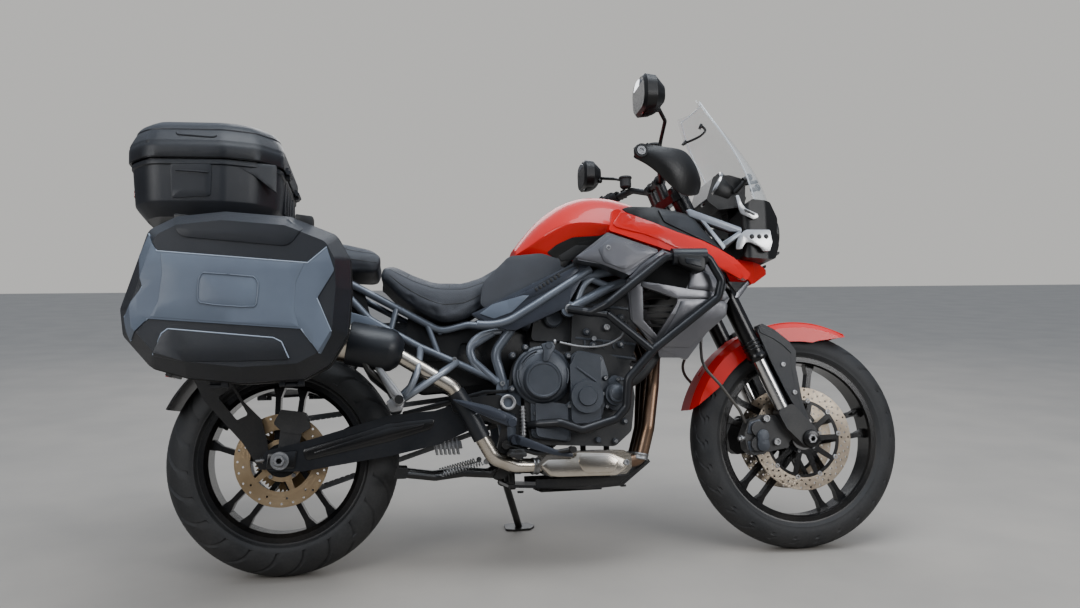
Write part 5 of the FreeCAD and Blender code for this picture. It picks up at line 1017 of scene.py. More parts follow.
for turn in range(6):
    angle = math.radians(60 * turn)
    cap_bolt(mesh, SILENCER_FRONT + SILENCER_WAY * 448 + side * 37 * math.cos(angle)
             + over * 37 * math.sin(angle), SILENCER_WAY, 4, 3)
keep(mesh, "exhaust_bands", "alloy")

# Right side of the frame: pivot cap, heel guard, brake pedal, linkage

mesh = bmesh.new()
plate(mesh, ((463, 474), (495, 470), (567, 453), (620, 430), (642, 417), (639, 394), (616, 396),
             (570, 417), (527, 438), (481, 461)), -210, -203, 6, 2.5)
plate(mesh, ((480, 467), (500, 465), (567, 447), (612, 427), (608, 412), (570, 424), (527, 444)),
      -213, -207, 5, 3)
turned(mesh, ((0, 72), (8, 72), (10, 68), (10, 0), (0, 0)), (627, -138, 405), RIGHT, 20)
turned(mesh, ((0, 4), (11, 4), (12.5, 2), (12.5, -2), (0, -2)), (627, -212, 405), RIGHT, 24)
plate(mesh, ((632, 371), (649, 371), (746, 330), (800, 316), (798, 305), (748, 312), (690, 330),
             (640, 346)), -182, -174, 4, 2)
turned(mesh, ((0, 42), (13, 42), (15, 38), (15, 0), (0, 0)), (640, -140, 358), RIGHT, 24)
keep(mesh, "heel_guard_and_pedal", "dark_slate")

mesh = bmesh.new()
turned(mesh, ((14, 8), (19, 9.5), (22.5, 8), (23, 0), (14, 0)), (625, -141, 463), RIGHT, 40)
hex_bolt(mesh, (618, -140, 344), RIGHT, 9, 8)
hex_bolt(mesh, (610, -140, 286), RIGHT, 7, 6)
cap_bolt(mesh, (636, -150, 410), RIGHT, 7, 5)
bolts_on(mesh, ((600, 440), (656, 360), (656, 320)), -138, 6, RIGHT, 4, 14)
for way in (RIGHT, LEFT):
    cap_bolt(mesh, (806, way.y * 166, 724), way, 13, 7, 24)
for place in ((478, 588), (612, 517), (640, 673)):
    for way in (RIGHT, LEFT):
        bolts_on(mesh, (place,), way.y * 127, 7.5, way, 6, 14)
for index in range(8):
    turned(mesh, ((6, 2.4), (8.4, 2.4), (9, 0), (8.4, -2.4), (6, -2.4)),
           (666, -146, 372 + index * 9.6), UP, 16)
turned(mesh, ((0, 86), (6, 86), (6, 0), (0, 0)), (666, -146, 366), UP, 12)
keep(mesh, "frame_bolts_right", "alloy")

mesh = bmesh.new()
for index in range(6):
    x = 424 + index * 12
    plate(mesh, ((x, 322), (x - 8, 372), (x - 2, 372), (x + 6, 322)), -104, -44, 0, 1)
plate(mesh, ((420, 338), (498, 338), (494, 360), (412, 360)), -98, -50, 2, 1)
keep(mesh, "finned_block", "alloy")

# Swingarm: pressed flank, axle adjusters, nuts and chain guide

FLANK = ((60, 352), (300, 416), (420, 424), (412, 396), (300, 366), (70, 320))
mesh = bmesh.new()
plate(mesh, FLANK, -135, -131, 10, 2.5)
plate(mesh, ((90, 344), (300, 404), (392, 412), (386, 400), (300, 378), (96, 330)), -137, -133, 6, 1.5)
plate(mesh, FLANK, 143, 147, 10, 2.5)
for y_low, y_high in ((-138, -131), (143, 150)):
    plate(mesh, ((-36, 302), (-30, 344), (46, 350), (40, 300)), y_low, y_high, 6, 2)
plate(mesh, ((330, 446), (470, 478), (560, 500), (650, 500), (640, 492), (560, 488), (430, 452),
             (330, 436)), -132, -96, 3, 1.5)
keep(mesh, "swingarm_flanks", "gloss_black")
mesh = bmesh.new()
for way, across in ((RIGHT, 138), (LEFT, 150)):
    place = REAR_AXLE + way * across
    turned(mesh, ((9, 3), (24, 3), (25, 2), (25, -1), (9, -1)), place, way, 32)
    turned(mesh, ((8.5, 14), (15, 14), (16.5, 12), (16.5, 3), (8.5, 3)), place, way, 6)
    bar(mesh, (place + Vector((-40, 0, 4)), place + Vector((-62, 0, 2))), 4, 2, 2, 8)
    hex_bolt(mesh, place + Vector((-46, 0, 3)) - way * 16, -AHEAD, 7, 6)
keep(mesh, "rear_axle_nuts", "alloy")

# Fork: dust seals, rings, pinch bolts, axle end, guards

mesh = bmesh.new()
for side in (-1, 1):
    turned(mesh, ((22, -6), (27, -5), (29.5, 0), (29.5, 12), (27.6, 15), (27.6, 24), (22, 24)),
           fork_point(20, side * 102, 279), UP_THE_FORK, 40)
    for along in (312, 323, 334):
        turned(mesh, ((26, -3.4), (28.6, -3.4), (29.4, -2), (29.4, 2), (28.6, 3.4), (26, 3.4)),
               fork_point(20, side * 102, along), UP_THE_FORK, 40)
    turned(mesh, ((0, 13), (10, 13), (11, 10), (20, 10), (22, 8), (26.6, 6), (26.6, -2), (0, -2)),
           fork_point(20, side * 102, 846), UP_THE_FORK, 32)
    turned(mesh, ((9, 7), (20, 7), (25, 5), (27, 1), (27, -5), (9, -5)),
           FRONT_AXLE + LEFT * side * 128, LEFT * side, 36)
keep(mesh, "fork_seals_and_rings", "anodised", "front_fork")

mesh = bmesh.new()
for side in (-1, 1):
    way = LEFT * side
    turned(mesh, ((8.6, 11), (12.5, 11), (14, 9), (14, 4), (8.6, 4)), FRONT_AXLE + way * 128, way, 6)
    for ahead, along in ((52, 6), (46, -16)):
        cap_bolt(mesh, fork_point(ahead, side * 126, along), way, 5.5, 4)
    for x, z in ((1459, 554), (1489, 470)):
        cap_bolt(mesh, (x, side * 124, z), way, 7, 3.5, 18)
    for x, z in ((1403, 396), (1432, 326)):
        turned(mesh, ((0, 9), (5, 9), (6, 12), (10, 12), (11, 9), (11, 0), (0, 0)),
               (x, side * 97, z), way, 20)
    bar(mesh, ((1322, side * 90, 339), (1352, side * 90, 340)), 6.5, 2, 2, 12)
    hex_bolt(mesh, (1326, side * 90, 339), -AHEAD, 8, 8)
    for along in (592, 824):
        cap_bolt(mesh, fork_point(50, side * 102, along), AHEAD_OF_FORK, 6, 5)
    cap_bolt(mesh, (1455, side * 75, 614), way, 7, 4)
keep(mesh, "fork_bolts", "alloy", "front_fork")

mesh = bmesh.new()
for side in (-1, 1):
    near, far = side * 96.0, side * 116.0
    plate(mesh, ((1372, 359), (1385, 365), (1400, 361), (1406, 342), (1400, 332), (1406, 322),
                 (1402, 305), (1388, 299), (1371, 303), (1366, 318), (1370, 331), (1366, 344)),
          near, far, 6, 3)
    near, far = side * 84.0, side * 101.0
    plate(mesh, ((1342, 352), (1350, 386), (1384, 396), (1392, 384), (1362, 372), (1360, 350)),
          near, far, 5, 3)
    plate(mesh, ((1346, 300), (1340, 330), (1362, 330), (1366, 304)), near, far, 5, 3)
keep(mesh, "caliper_lobes", "cover", "front_fork")

GUARD = ((1389, 672), (1440, 650), (1466, 626), (1487, 590), (1484, 548), (1496, 474), (1512, 414),
         (1526, 376), (1508, 362), (1490, 420), (1462, 474), (1420, 566), (1384, 656))
mesh = bmesh.new()
plate(mesh, GUARD, -122.5, -118, 5, 1.5)
plate(mesh, ((1389, 670), (1440, 649), (1465, 625), (1486, 588), (1462, 612), (1434, 632),
             (1392, 652)), -125, -120, 2, 2)
keep(mesh, "fork_guard_faces", "blue_black", "front_fork", angle=20, both=True)

# Fender: shoulder creases

mesh = bmesh.new()
for y in (-44, 44):
    bar(mesh, [around(FRONT_AXLE, 357.4, angle, y) for angle in range(62, 132, 10)], 1.6, 3, 6, 8)
bar(mesh, [around(FRONT_AXLE, 358.0, angle, 0) for angle in range(62, 160, 14)], 2.2, 3, 6, 8)
keep(mesh, "fender_creases", "red", "front_fork")

# Mirrors: dished shells with their glass

def mirror_shell(side):
    shell = bmesh.new()
    bmesh.ops.create_uvsphere(shell, u_segments=32, v_segments=20, radius=1.0)
    bmesh.ops.bisect_plane(shell, geom=all_of(shell), dist=1e-4, plane_co=(0, 0, 0),
                           plane_no=(-1, 0, 0), clear_outer=True)
    bmesh.ops.holes_fill(shell, edges=[e for e in shell.edges if e.is_boundary], sides=0)
    flat = [f for f in shell.faces if len(f.verts) > 8]
    bmesh.ops.inset_region(shell, faces=flat, thickness=0.07, depth=0.0)
    bmesh.ops.inset_region(shell, faces=flat, thickness=0.02, depth=-0.06)
    for vert in shell.verts:
        place = vert.co
        low = max(0.0, -place.z)
        vert.co = Vector((place.x * (56 - 14 * max(0.0, place.z)) - 6 * place.z,
                          place.y * (66 - 6 * low) * (1 + 0.12 * place.z), place.z * 52))
    shell.transform(Matrix.Translation((984, side * 402, 1272)))
    return shell


for side, word in ((-1, "right"), (1, "left")):
    mesh = mirror_shell(side)
    glass = bmesh.new()
    outline = [(math.cos(t) * (58 + 5 * math.sin(t)), math.sin(t) * 46)
               for t in (math.tau * k / 40 for k in range(40))]
    plate_on(glass, outline, (979.5, side * 402, 1272), (-0.993, 0, -0.115), 2.2, 0, 0.8)
    turned(mesh, ((0, 16), (7, 16), (9, 10), (11, -4), (0, -4)), (1032, side * 376, 1258),
           (0.3, -side * 0.6, -0.7), 20)
    keep(mesh, f"{word}_mirror_shell", "plastic", "front_fork")
    keep(glass, f"{word}_mirror_glass", "mirror_glass", "front_fork")

# Handguards: one smooth shell each, with the bar end screw

GUARD_STATIONS = (
    (954, 402, 1133, 1106), (966, 407, 1139, 1097), (985, 412, 1141, 1086), (1010, 416, 1138, 1066),
    (1036, 418, 1134, 1040), (1062, 416, 1132, 1014), (1088, 408, 1131, 1001), (1112, 394, 1126, 1000),
    (1134, 374, 1108, 1008), (1150, 350, 1096, 1016), (1164, 322, 1088, 1026), (1172, 296, 1080, 1040))
STRIPS = 8
mesh = bmesh.new()
rows = []
for x, y, top, bottom in GUARD_STATIONS:
    rows.append([])
    for step in range(STRIPS + 1):
        share = step / STRIPS
        bulge = 9 * math.sin(math.pi * share) - 16 * abs(share - 0.42) ** 2.2
        place = (x + 0.25 * bulge, -(y + bulge - 8), top + (bottom - top) * share)
        rows[-1].append(mesh.verts.new(place))
for first, second in zip(rows, rows[1:]):
    for index in range(STRIPS):
        mesh.faces.new((first[index], first[index + 1], second[index + 1], second[index]))
bmesh.ops.recalc_face_normals(mesh, faces=mesh.faces)
bmesh.ops.solidify(mesh, geom=mesh.faces[:], thickness=5.0)
guards = keep(mesh, "handguard_shells", "plastic", "front_fork", angle=50, both=True)
rounder(guards, 2)
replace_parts(guards, "handguards")
mesh = bmesh.new()
for side in (-1, 1):
    turned(mesh, ((0, 1), (5, 1), (6, 4), (12, 4), (14, 1), (14, -26), (0, -26)),
           (972, side * 412, 1119), LEFT * side, 28)
keep(mesh, "bar_end_screws", "alloy", "front_fork")
mesh = bmesh.new()
for side in (-1, 1):
    turned(mesh, ((14.2, 3), (17.5, 3), (19, 0), (19, -8), (14.2, -8)), (972, side * 412, 1119),
           LEFT * side, 28)
    start = Vector((1011, side * 334, 1138))
    along = (Vector((976, side * 400, 1125)) - start).normalized()
    for index in range(16):
        turned(mesh, ((16, -1.2), (18, -1.0), (18, 1.0), (16, 1.2)), start + along * (4.4 * index),
               along, 24)
    for at in (1046, 1022):
        share = (at - 976) / (1045 - 976)
        turned(mesh, ((22, -2), (25.5, -1.4), (25.5, 1.4), (22, 2)),
               (at, side * (400 - 138 * share), 1125 + 27 * share), along, 24)
    # Fluid cups beside the risers and the switch rockers
    turned(mesh, ((0, 26), (20, 26), (22, 23), (22, 20), (19, 19), (19, -8), (16, -12), (0, -12)),
           (1078, side * 178, 1186), UP, 28)
    block_on(mesh, 9, 5, (1022, side * 296, 1168), (-0.5, 0, 0.86), 7, 2, 1)
keep(mesh, "grips_and_cups", "rubber", "front_fork")

# Fuel tank: one skin with the flank's crease and the hollow under it

# Each station: x, then half width and height of foot, hollow, crease, flank and shoulder, and the crown
TANK_STATIONS = (
    (664, (78, 868), (86, 880), (96, 894), (84, 908), (46, 918), 922),
    (700, (94, 867), (101, 886), (120, 913), (104, 942), (62, 962), 968),
    (742, (112, 866), (116, 893), (147, 942), (124, 985), (80, 1006), 1014),
    (800, (132, 867), (138, 903), (177, 972), (144, 1024), (94, 1046), 1055),
    (862, (150, 868), (158, 911), (201, 972), (158, 1042), (104, 1067), 1077),
    (920, (160, 874), (172, 914), (209, 962), (164, 1044), (106, 1068), 1079),
    (980, (166, 880), (184, 914), (212, 950), (160, 1034), (102, 1060), 1071),
    (1040, (164, 886), (186, 914), (206, 940), (148, 1016), (96, 1040), 1051),
    (1088, (160, 892), (180, 914), (194, 930), (134, 992), (88, 1012), 1020))


def tank_half(x, z):
    wide, tall = (ladder(x, tuple((s[0], tuple(pair[part] for pair in s[1:5]))
                                  for s in TANK_STATIONS)) for part in (0, 1))
    return ladder(z, tuple(zip(tall, wide)))


mesh = bmesh.new()
rings = []
for x, *sides, crown in TANK_STATIONS:
    half = [(x, -width, z) for width, z in sides] + [(x, -sides[-1][0] * 0.5, crown - 1)]
    rings.append(half + [(x, 0, crown)] + at_side(reversed(half), -1))
rows = rings_of(mesh, rings, False)
count = len(rows[0])
mesh.faces.new(rows[0])
mesh.faces.new(rows[-1])
crease = mesh.edges.layers.float.new("crease_edge")
sharp_rows = {2: 0.8, count - 3: 0.8, 0: 0.7, count - 1: 0.7}
for first, second in zip(rows, rows[1:]):
    for index, amount in sharp_rows.items():
        mesh.edges.get((first[index], second[index]))[crease] = amount
for row in (rows[0], rows[-1]):
    for index in range(count):
        mesh.edges.get((row[index], row[(index + 1) % count]))[crease] = 0.6
tank = keep(mesh, "fuel_tank_skin", "red", angle=60)
rounder(tank, 3)
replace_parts(tank, "fuel_tank")

mesh = bmesh.new()
turned(mesh, ((0, 9), (26, 9), (30, 7), (34, 3), (42, 2), (45, 0), (45, -10), (0, -10)),
       (905, 0, 1077), (-0.04, 0, 1), 48)
for turn in range(6):
    angle = math.radians(60 * turn + 30)
    cap_bolt(mesh, (905 + 38 * math.cos(angle), 38 * math.sin(angle), 1079), UP, 2.6, 2, 10)
keep(mesh, "fuel_cap", "plastic")

# Skins laid on the flanks, drawn for the right side and mirrored

SKIN = tuple((x, tuple(zip((560, 700, 850, 930, 1025), halves))) for x, halves in (
    (915, (196, 212, 232, 230, 206)), (1060, (182, 222, 240, 230, 196)),
    (1200, (176, 214, 222, 200, 160)), (1372, (150, 160, 152, 136, 120))))


def skin_half(x, z):
    return ladder(x, tuple((place, ladder(z, stops)) for place, stops in SKIN))


def flank(name, look, half_at, outward, depth, corner, edge, *outlines, folds=(), slot=None):
    """Matching panels on both flanks, as one piece; a number for half_at is a flat flank."""
    mesh = bmesh.new()
    flat = isinstance(half_at, (int, float))
    for outline in outlines:
        panel(mesh, outline, (lambda x, z: half_at) if flat else half_at, outward, depth, corner,
              edge, 30.0, folds)
    keep(mesh, name, look, both=True)


def under_skin(by):
    return lambda x, z: skin_half(x, z) - by


flank("tank_side_inserts", "plastic", tank_half, 5, 10, 5, 3,
      ((753, 896), (780, 916), (824, 933), (897, 933), (922, 940), (905, 905), (817, 867),
       (806, 851), (785, 856), (778, 876)))
flank("tank_insert_ribs", "rubber", tank_half, 7.5, 8, 4, 2,
      ((786, 884), (834, 912), (880, 910), (818, 872), (792, 868)),
      ((840, 918), (896, 924), (884, 914), (838, 912)))
flank("seat_side_lobes", "seat", 134, 0, 18, 12, 8,
      ((553, 742), (562, 806), (640, 884), (736, 893), (790, 874), (846, 905), (912, 852),
       (866, 806), (790, 744), (640, 700)))
flank("wing_upper_creases", "red", skin_half, 3.2, 9, 4, 3.2,
      ((930, 960), (960, 1000), (974, 996), (1079, 954), (1174, 919), (1258, 888), (1334, 816),
       (1322, 804), (1248, 836), (1123, 887), (1019, 929), (940, 950)))
flank("wing_black_trims", "plastic", under_skin(9), 0, 8, 4, 2,
      ((967, 1011), (988, 1018), (1069, 1018), (1130, 1010), (1171, 1002), (1192, 990),
       (1209, 960), (1268, 896), (1262, 886), (1177, 917), (1082, 951), (998, 985)))
flank("wing_trim_ridges", "blue_black", under_skin(9), 4, 8, 5, 3,
      ((1076, 1012), (1171, 994), (1190, 978), (1204, 952), (1254, 900), (1180, 930), (1090, 972)))
flank("infill_faces", "grey_panel", 222, 4, 8, 5, 4,
      ((816, 862), (878, 849), (960, 816), (1062, 878), (1032, 888), (928, 930), (912, 926),
       (874, 894)))
flank("infill_upper_facets", "grey_panel", 226, 2.5, 6, 8, 3,
      ((884, 888), (924, 920), (1030, 880), (1046, 876), (960, 826), (900, 848)))
flank("wedge_vents", "plastic", skin_half, 3, 12, 5, 2, ((1276, 795), (1344, 797), (1304, 763)))
flank("wedge_rims", "grey_panel", skin_half, 5, 12, 2, 1.5,
      ((1296, 748), (1304, 764), (1346, 801), (1352, 792), (1312, 748)))

# Radiator cowls: blades, posts and facets

flank("cowl_blades", "grey_panel", skin_half, 7, 14, 3, 4,
      ((1003, 791), (1141, 769), (1210, 761), (1276, 748), (1262, 738), (1198, 742),
       (1103, 743), (1005, 777)))
flank("cowl_posts", "grey_panel", skin_half, 4, 12, 3, 4,
      ((969, 795), (978, 679), (1047, 624), (1052, 636), (1009, 682), (1007, 790)))
flank("cowl_faces", "grey_panel", skin_half, 4, 12, 5, 4,
      ((1120, 735), (1196, 741), (1262, 735), (1270, 728), (1262, 694), (1148, 604), (1052, 608),
       (1058, 616), (1118, 724)), folds=(((1262, 700), (1060, 628)),))
flank("cowl_feet", "grey_panel", skin_half, -2, 8, 3, 2,
      ((1054, 602), (1152, 600), (1150, 576), (1060, 578)))
flank("cowl_shoulders", "grey_panel", skin_half, 6, 12, 5, 4,
      ((1156, 830), (1189, 822), (1238, 803), (1272, 786), (1262, 766), (1216, 764), (1142, 770),
       (1150, 798)))
# The mouths are a near-black sheet over the duct openings: painted shade inside the ducts.
flank("cowl_mouths", "void", skin_half, 1.6, 6, 4, 0.8,
      ((1002, 794), (1010, 806), (1058, 858), (1078, 872), (1111, 858), (1150, 834), (1150, 798),
       (1138, 770), (1071, 780), (1012, 790)))
flank("cowl_mouth_lips", "grey_panel", skin_half, 6, 12, 2, 2.5,
      ((968, 802), (1012, 842), (1068, 882), (1078, 874), (1016, 826), (978, 794)))
flank("duct_louvres", "plastic", under_skin(24), 0, 10, 0, 0,
      *(((1010 + max(0, 692 - z) * 0.85, z), (1010 + max(0, 686 - z) * 0.85, z + 6),
         (1060 + (z - 634) * 0.55, z + 6), (1056 + (z - 634) * 0.55, z))
        for z in range(650, 723, 18)))

mesh = bmesh.new()
for side in (-1, 1):
    cap_bolt(mesh, (914, side * 226, 890), LEFT * side, 7.5, 4, 18)
    turned(mesh, ((7.6, 1), (11, 1.4), (12, 0), (12, -2), (7.6, -2)), (914, side * 226.5, 890),
           LEFT * side, 24)
keep(mesh, "infill_screws", "alloy")

# Cockpit lattice and the brackets beside the headlight

mesh = bmesh.new()
for outline in (((1168, 1014), (1180, 1018), (1336, 962), (1338, 948), (1300, 950), (1176, 996)),
                ((1206, 990), (1222, 984), (1284, 906), (1276, 893)),
                ((1272, 916), (1284, 906), (1336, 940), (1332, 954))):
    plate(mesh, outline, -171, -161, 3, 2.5)
keep(mesh, "cockpit_lattice", "light_frame", both=True)
mesh = bmesh.new()
plate(mesh, ((1321, 909), (1328, 936), (1344, 950), (1355, 958), (1431, 958), (1436, 919),
             (1426, 892), (1404, 892), (1394, 906), (1366, 919), (1352, 919), (1337, 898),
             (1320, 898)), -159, -153, 4, 1.2)
plate(mesh, ((1330, 1063), (1340, 1066), (1348, 1040), (1360, 1024), (1397, 1007), (1398, 996),
             (1382, 990), (1343, 1008), (1336, 1028)), -156, -151, 3, 1)
keep(mesh, "headlight_brackets", "silver", both=True)
mesh = bmesh.new()
for x in (1372, 1395, 1417):
    for side in (-1, 1):
        turned(mesh, ((0, 0.8), (6.5, 0.8), (7.5, 0.2), (7.5, -4), (0, -4)), (x, side * 159, 937),
               LEFT * side, 20)
for outline, out, back, corner, edge in (
        (((1352, 1021), (1358, 1022), (1388, 1007), (1386, 1001), (1356, 1014)), 156.6, 150.0, 2, 0),
        (((1098, 858), (1114, 864), (1172, 858), (1182, 846), (1180, 816), (1163, 808), (1104, 832)),
         282.0, 238.0, 7, 5)):
    for side in (-1, 1):
        plate(mesh, outline, side * out, side * back, corner, edge)
keep(mesh, "bracket_holes_and_bar_pads", "plastic")
mesh = bmesh.new()
plate(mesh, ((1120, 850), (1166, 845), (1168, 822), (1122, 834)), -284.5, -278, 4, 2)
keep(mesh, "blank_pad_fields", "blue_black", both=True)

# Beak tip

mesh = bmesh.new()
slab(mesh, [(x, y, 0.0) for x, y in ((1394, -70), (1470, -20), (1474, 0), (1470, 20), (1394, 70),
                                     (1384, 62), (1384, -62))], Vector((0, 0, 10)), 2, 0, 0, 1)
bmesh.ops.bevel(mesh, geom=[e for e in mesh.edges if e.is_manifold], offset=3.5, segments=2,
                clamp_overlap=True, **BEVEL)
for vert in mesh.verts:
    vert.co.z += 832 + (vert.co.x - 1400) * 0.5
keep(mesh, "beak_lip", "plastic")

# Side trims: ribs and raised blades; pale pipe behind them

flank("trim_shells", "dark_slate", 166, 1.2, 19, 5, 2,
      ((524, 713), (605, 671), (648, 664), (798, 729), (870, 851), (836, 862), (546, 722)))
flank("trim_blades", "dark_slate", 166, 4.5, 8, 4, 4,
      ((640, 752), (690, 756), (806, 806), (838, 838), (826, 846), (700, 784), (646, 760)))
# The lower plate is a lighter slate than the trim round it: a painted reflection of the sky.
flank("trim_plates_painted_reflection", "slate", 166, 5, 9, 4, 3,
      ((548, 713), (585, 739), (672, 764), (692, 764), (640, 716), (588, 698)), slot="grey_panel")
flank("trim_upper_lips", "blue_black", 166, 1.5, 10, 2, 2,
      ((607, 732), (791, 838), (829, 858), (842, 852), (836, 842), (700, 776), (612, 724)))
mesh = bmesh.new()
bar(mesh, ((540, -164, 684), (604, -166, 676), (690, -166, 726), (786, -166, 786), (874, -162, 840)),
    11.5, 3, 8, 16)
keep(mesh, "trim_underbars", "frame", both=True)
mesh = bmesh.new()
for index in range(7):
    x, rise = 706 + index * 11, index * 6.6
    plate(mesh, ((x, 783 + rise), (x + 7, 787 + rise), (x + 12, 778 + rise), (x + 5, 774 + rise)),
          -173, -168, 1, 1)
keep(mesh, "trim_ribs", "rubber", both=True)
mesh = bmesh.new()
PALE_PIPES = (
    (((884, 150, 815), (862, 152, 806), (846, 150, 781), (832, 146, 742), (826, 138, 716)), 9.5),
    (((614, 118, 668), (585, 120, 668), (538, 120, 650), (516, 119, 615), (536, 118, 570),
      (560, 116, 544)), 10),
    (((626, 118, 640), (594, 119, 620), (590, 119, 582), (614, 118, 524)), 9.5))
for side in (-1, 1):
    for line, radius in PALE_PIPES:
        bar(mesh, at_side(line, side), radius, 3, 6, 16)
keep(mesh, "pale_frame_pipes", "light_frame")

# Seats: padded covers swollen by a cloth simulation, with piping laid on afterwards

LOFT_STEPS = 30
SEAT_SIDE = ((0.80, 0.0), (0.93, 0.06), (0.985, 0.3), (0.99, 0.56), (0.955, 0.78), (0.87, 0.92),
             (0.70, 0.985), (0.42, 1.0))
VOXEL = 0.006
PRESSURE = 4.0
LAST_FRAME = 20


def seat_form(tops, bottoms, plan, first, last, crown):
    """A crowned loft between the top line, the bottom line and the plan width."""
    mesh = bmesh.new()
    rings = []
    for index in range(LOFT_STEPS + 1):
        share = 0.5 - 0.5 * math.cos(math.pi * index / LOFT_STEPS)
        x = first + (last - first) * share
        top, low, half = (ladder(x, line) for line in (tops, bottoms, plan))
        right = [(x, -half * across, low + (top - low) * up + crown * (up - 1))
                 for across, up in SEAT_SIDE]
        rings.append(right + [(x, 0, top + crown * 0.3)] + at_side(reversed(right), -1))
    rows = rings_of(mesh, rings, False)
    mesh.faces.new(rows[0])
    mesh.faces.new(rows[-1])
    bmesh.ops.recalc_face_normals(mesh, faces=mesh.faces)
    return mesh


def cushion(name, form, node, cap):
    """Park the form, swell it as cloth under pressure, and take the result as the mesh."""
    scene = bpy.context.scene
    made = keep(form, name, "seat", angle=50)
    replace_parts(made, node)
    remesh = made.modifiers.new("even", "REMESH")
    remesh.mode = "VOXEL"
    remesh.voxel_size = VOXEL
    cloth = made.modifiers.new("swell", "CLOTH")
    cloth.settings.use_pressure = True
    cloth.settings.uniform_pressure_force = PRESSURE
    cloth.settings.effector_weights.gravity = 0.0
    cloth.point_cache.frame_start = 1
    cloth.point_cache.frame_end = LAST_FRAME
    graph = bpy.context.evaluated_depsgraph_get()
    scene.frame_set(1)
    start = bpy.data.meshes.new_from_object(made.evaluated_get(graph))
    for frame_number in range(2, LAST_FRAME + 1):
        scene.frame_set(frame_number)
    graph = bpy.context.evaluated_depsgraph_get()
    swollen = bpy.data.meshes.new_from_object(made.evaluated_get(graph))
    down = (TIP.to_3x3() @ -UP)
    for before, after, normal in zip(start.vertices, swollen.vertices, start.vertex_normals):
        move = after.co - before.co
        reach = cap * MM * (0.25 if normal.vector.dot(down) > 0.6 else 1.0)
        if move.length > reach:
            move *= reach / move.length
        before.co += move
    bpy.data.meshes.remove(swollen)
    scene.frame_set(1)
    made.modifiers.clear()
    shape = bmesh.new()
    shape.from_mesh(start)
    for time in range(2):
        bmesh.ops.smooth_vert(shape, verts=shape.verts, factor=0.5, use_axis_x=True,
                              use_axis_y=True, use_axis_z=True)
    shape.to_mesh(made.data)
    shape.free()
    bpy.data.meshes.remove(start)
    made.data.polygons.foreach_set("use_smooth", [True] * len(made.data.polygons))
    rounder(made, 1)
    return made


def piping(mesh, seat, points, radius):
    """A sewn line that lies on the seat: each point is moved to the nearest place on it."""
    tree = BVHTree.FromObject(seat, bpy.context.evaluated_depsgraph_get())
    back = PARK.inverted()
    line = []
    for point in points:
        spot, normal, index, away = tree.find_nearest(PARK @ Vector(point))
        line.append(back @ (spot - normal * 0.0004))
    bar(mesh, line, radius, 3, 4, 8)


def seam_at(form, x, across, up):
    top, low, half = (ladder(x, line) for line in form)
    return x, half * across, low + (top - low) * up


RIDER_TOP = ((274, 836), (284, 866), (300, 866), (365, 830), (429, 807), (512, 807), (571, 829),
             (618, 858), (654, 890), (672, 892), (688, 876))
RIDER_LOW = ((274, 832), (335, 768), (394, 726), (453, 700), (506, 708), (541, 728), (600, 768),
             (662, 808), (688, 862))
RIDER_PLAN = ((274, 132), (300, 140), (440, 149), (520, 130), (560, 119), (620, 104), (688, 88))
PILLION_TOP = ((-60, 922), (-40, 930), (60, 933), (165, 924), (262, 902), (280, 888))
PILLION_LOW = ((-60, 866), (140, 852), (262, 844), (280, 868))
PILLION_PLAN = ((-60, 104), (-20, 118), (120, 137), (240, 137), (280, 128))

RIDER = (RIDER_TOP, RIDER_LOW, RIDER_PLAN)
PILLION = (PILLION_TOP, PILLION_LOW, PILLION_PLAN)

rider = cushion("rider_seat_padded", seat_form(*RIDER, 276, 687, 4), "rider_seat", 8.0)
pillion = cushion("pillion_seat_padded", seat_form(*PILLION, -59, 279, 3), "pillion_seat", 7.0)
mesh = bmesh.new()
for seat, form, first, last in ((rider, RIDER, 300, 668), (pillion, PILLION, -44, 264)):
    for side in (-1, 1):
        for across, up in ((0.9, 0.9), (0.99, 0.42)):
            line = [seam_at(form, first + (last - first) * k / 24, side * across, up)
                    for k in range(25)]
            piping(mesh, seat, line, 1.3)
for seat, form, x in ((rider, RIDER, 352), (rider, RIDER, 470), (rider, RIDER, 590),
                      (pillion, PILLION, 20), (pillion, PILLION, 180)):
    piping(mesh, seat, [seam_at(form, x, -0.88 + 0.11 * k, 0.96) for k in range(17)], 1.1)
keep(mesh, "seat_seams", "rubber")

# Cockpit: dials, windscreen edge and clamps, lamps

CAN_WAY = Vector((-0.86, 0, 0.51)).normalized()
CAN_PLACE = Vector((1300, -36, 1112))
DISPLAY_PLACE = Vector((1296, 52, 1110))
mesh = bmesh.new()
turned(mesh, ((0, -4), (44, -4), (50, 0), (56, 6), (58, 4), (60, -4), (56, -48), (40, -70), (0, -70)),
       CAN_PLACE, CAN_WAY, 48)
block_on(mesh, 46, 40, DISPLAY_PLACE, CAN_WAY, 10, 12, 3)
plate(mesh, ((1286, 1070), (1300, 1140), (1372, 1142), (1378, 1052)), -84, 84, 12, 6)
keep(mesh, "instrument_cans", "plastic")
mesh = bmesh.new()
turned(mesh, ((51, 6), (56, 9), (61, 6), (62.5, 0), (60, -3), (55, -3)), CAN_PLACE, CAN_WAY, 56)
keep(mesh, "instrument_bezel", "chrome")
mesh = bmesh.new()
face = CAN_PLACE - CAN_WAY * 3
turned(mesh, ((0, 1.5), (6, 1.5), (7, 0), (7, -2), (0, -2)), face + CAN_WAY * 2, CAN_WAY, 20)
up_way = CAN_WAY.cross(LEFT).normalized()
for index in range(25):
    angle = math.radians(-40 + 260 * index / 24)
    spoke = LEFT * math.cos(angle) + up_way * math.sin(angle)
    bar(mesh, (face + spoke * (34 if index % 4 else 30), face + spoke * 42), 0.9, 2, 1, 4)
needle = LEFT * math.cos(0.6) + up_way * math.sin(0.6)
bar(mesh, (face + CAN_WAY * 3, face + CAN_WAY * 3 + needle * 38), 1.2, 2, 1, 4)
keep(mesh, "dial_marks", "silver")
mesh = bmesh.new()
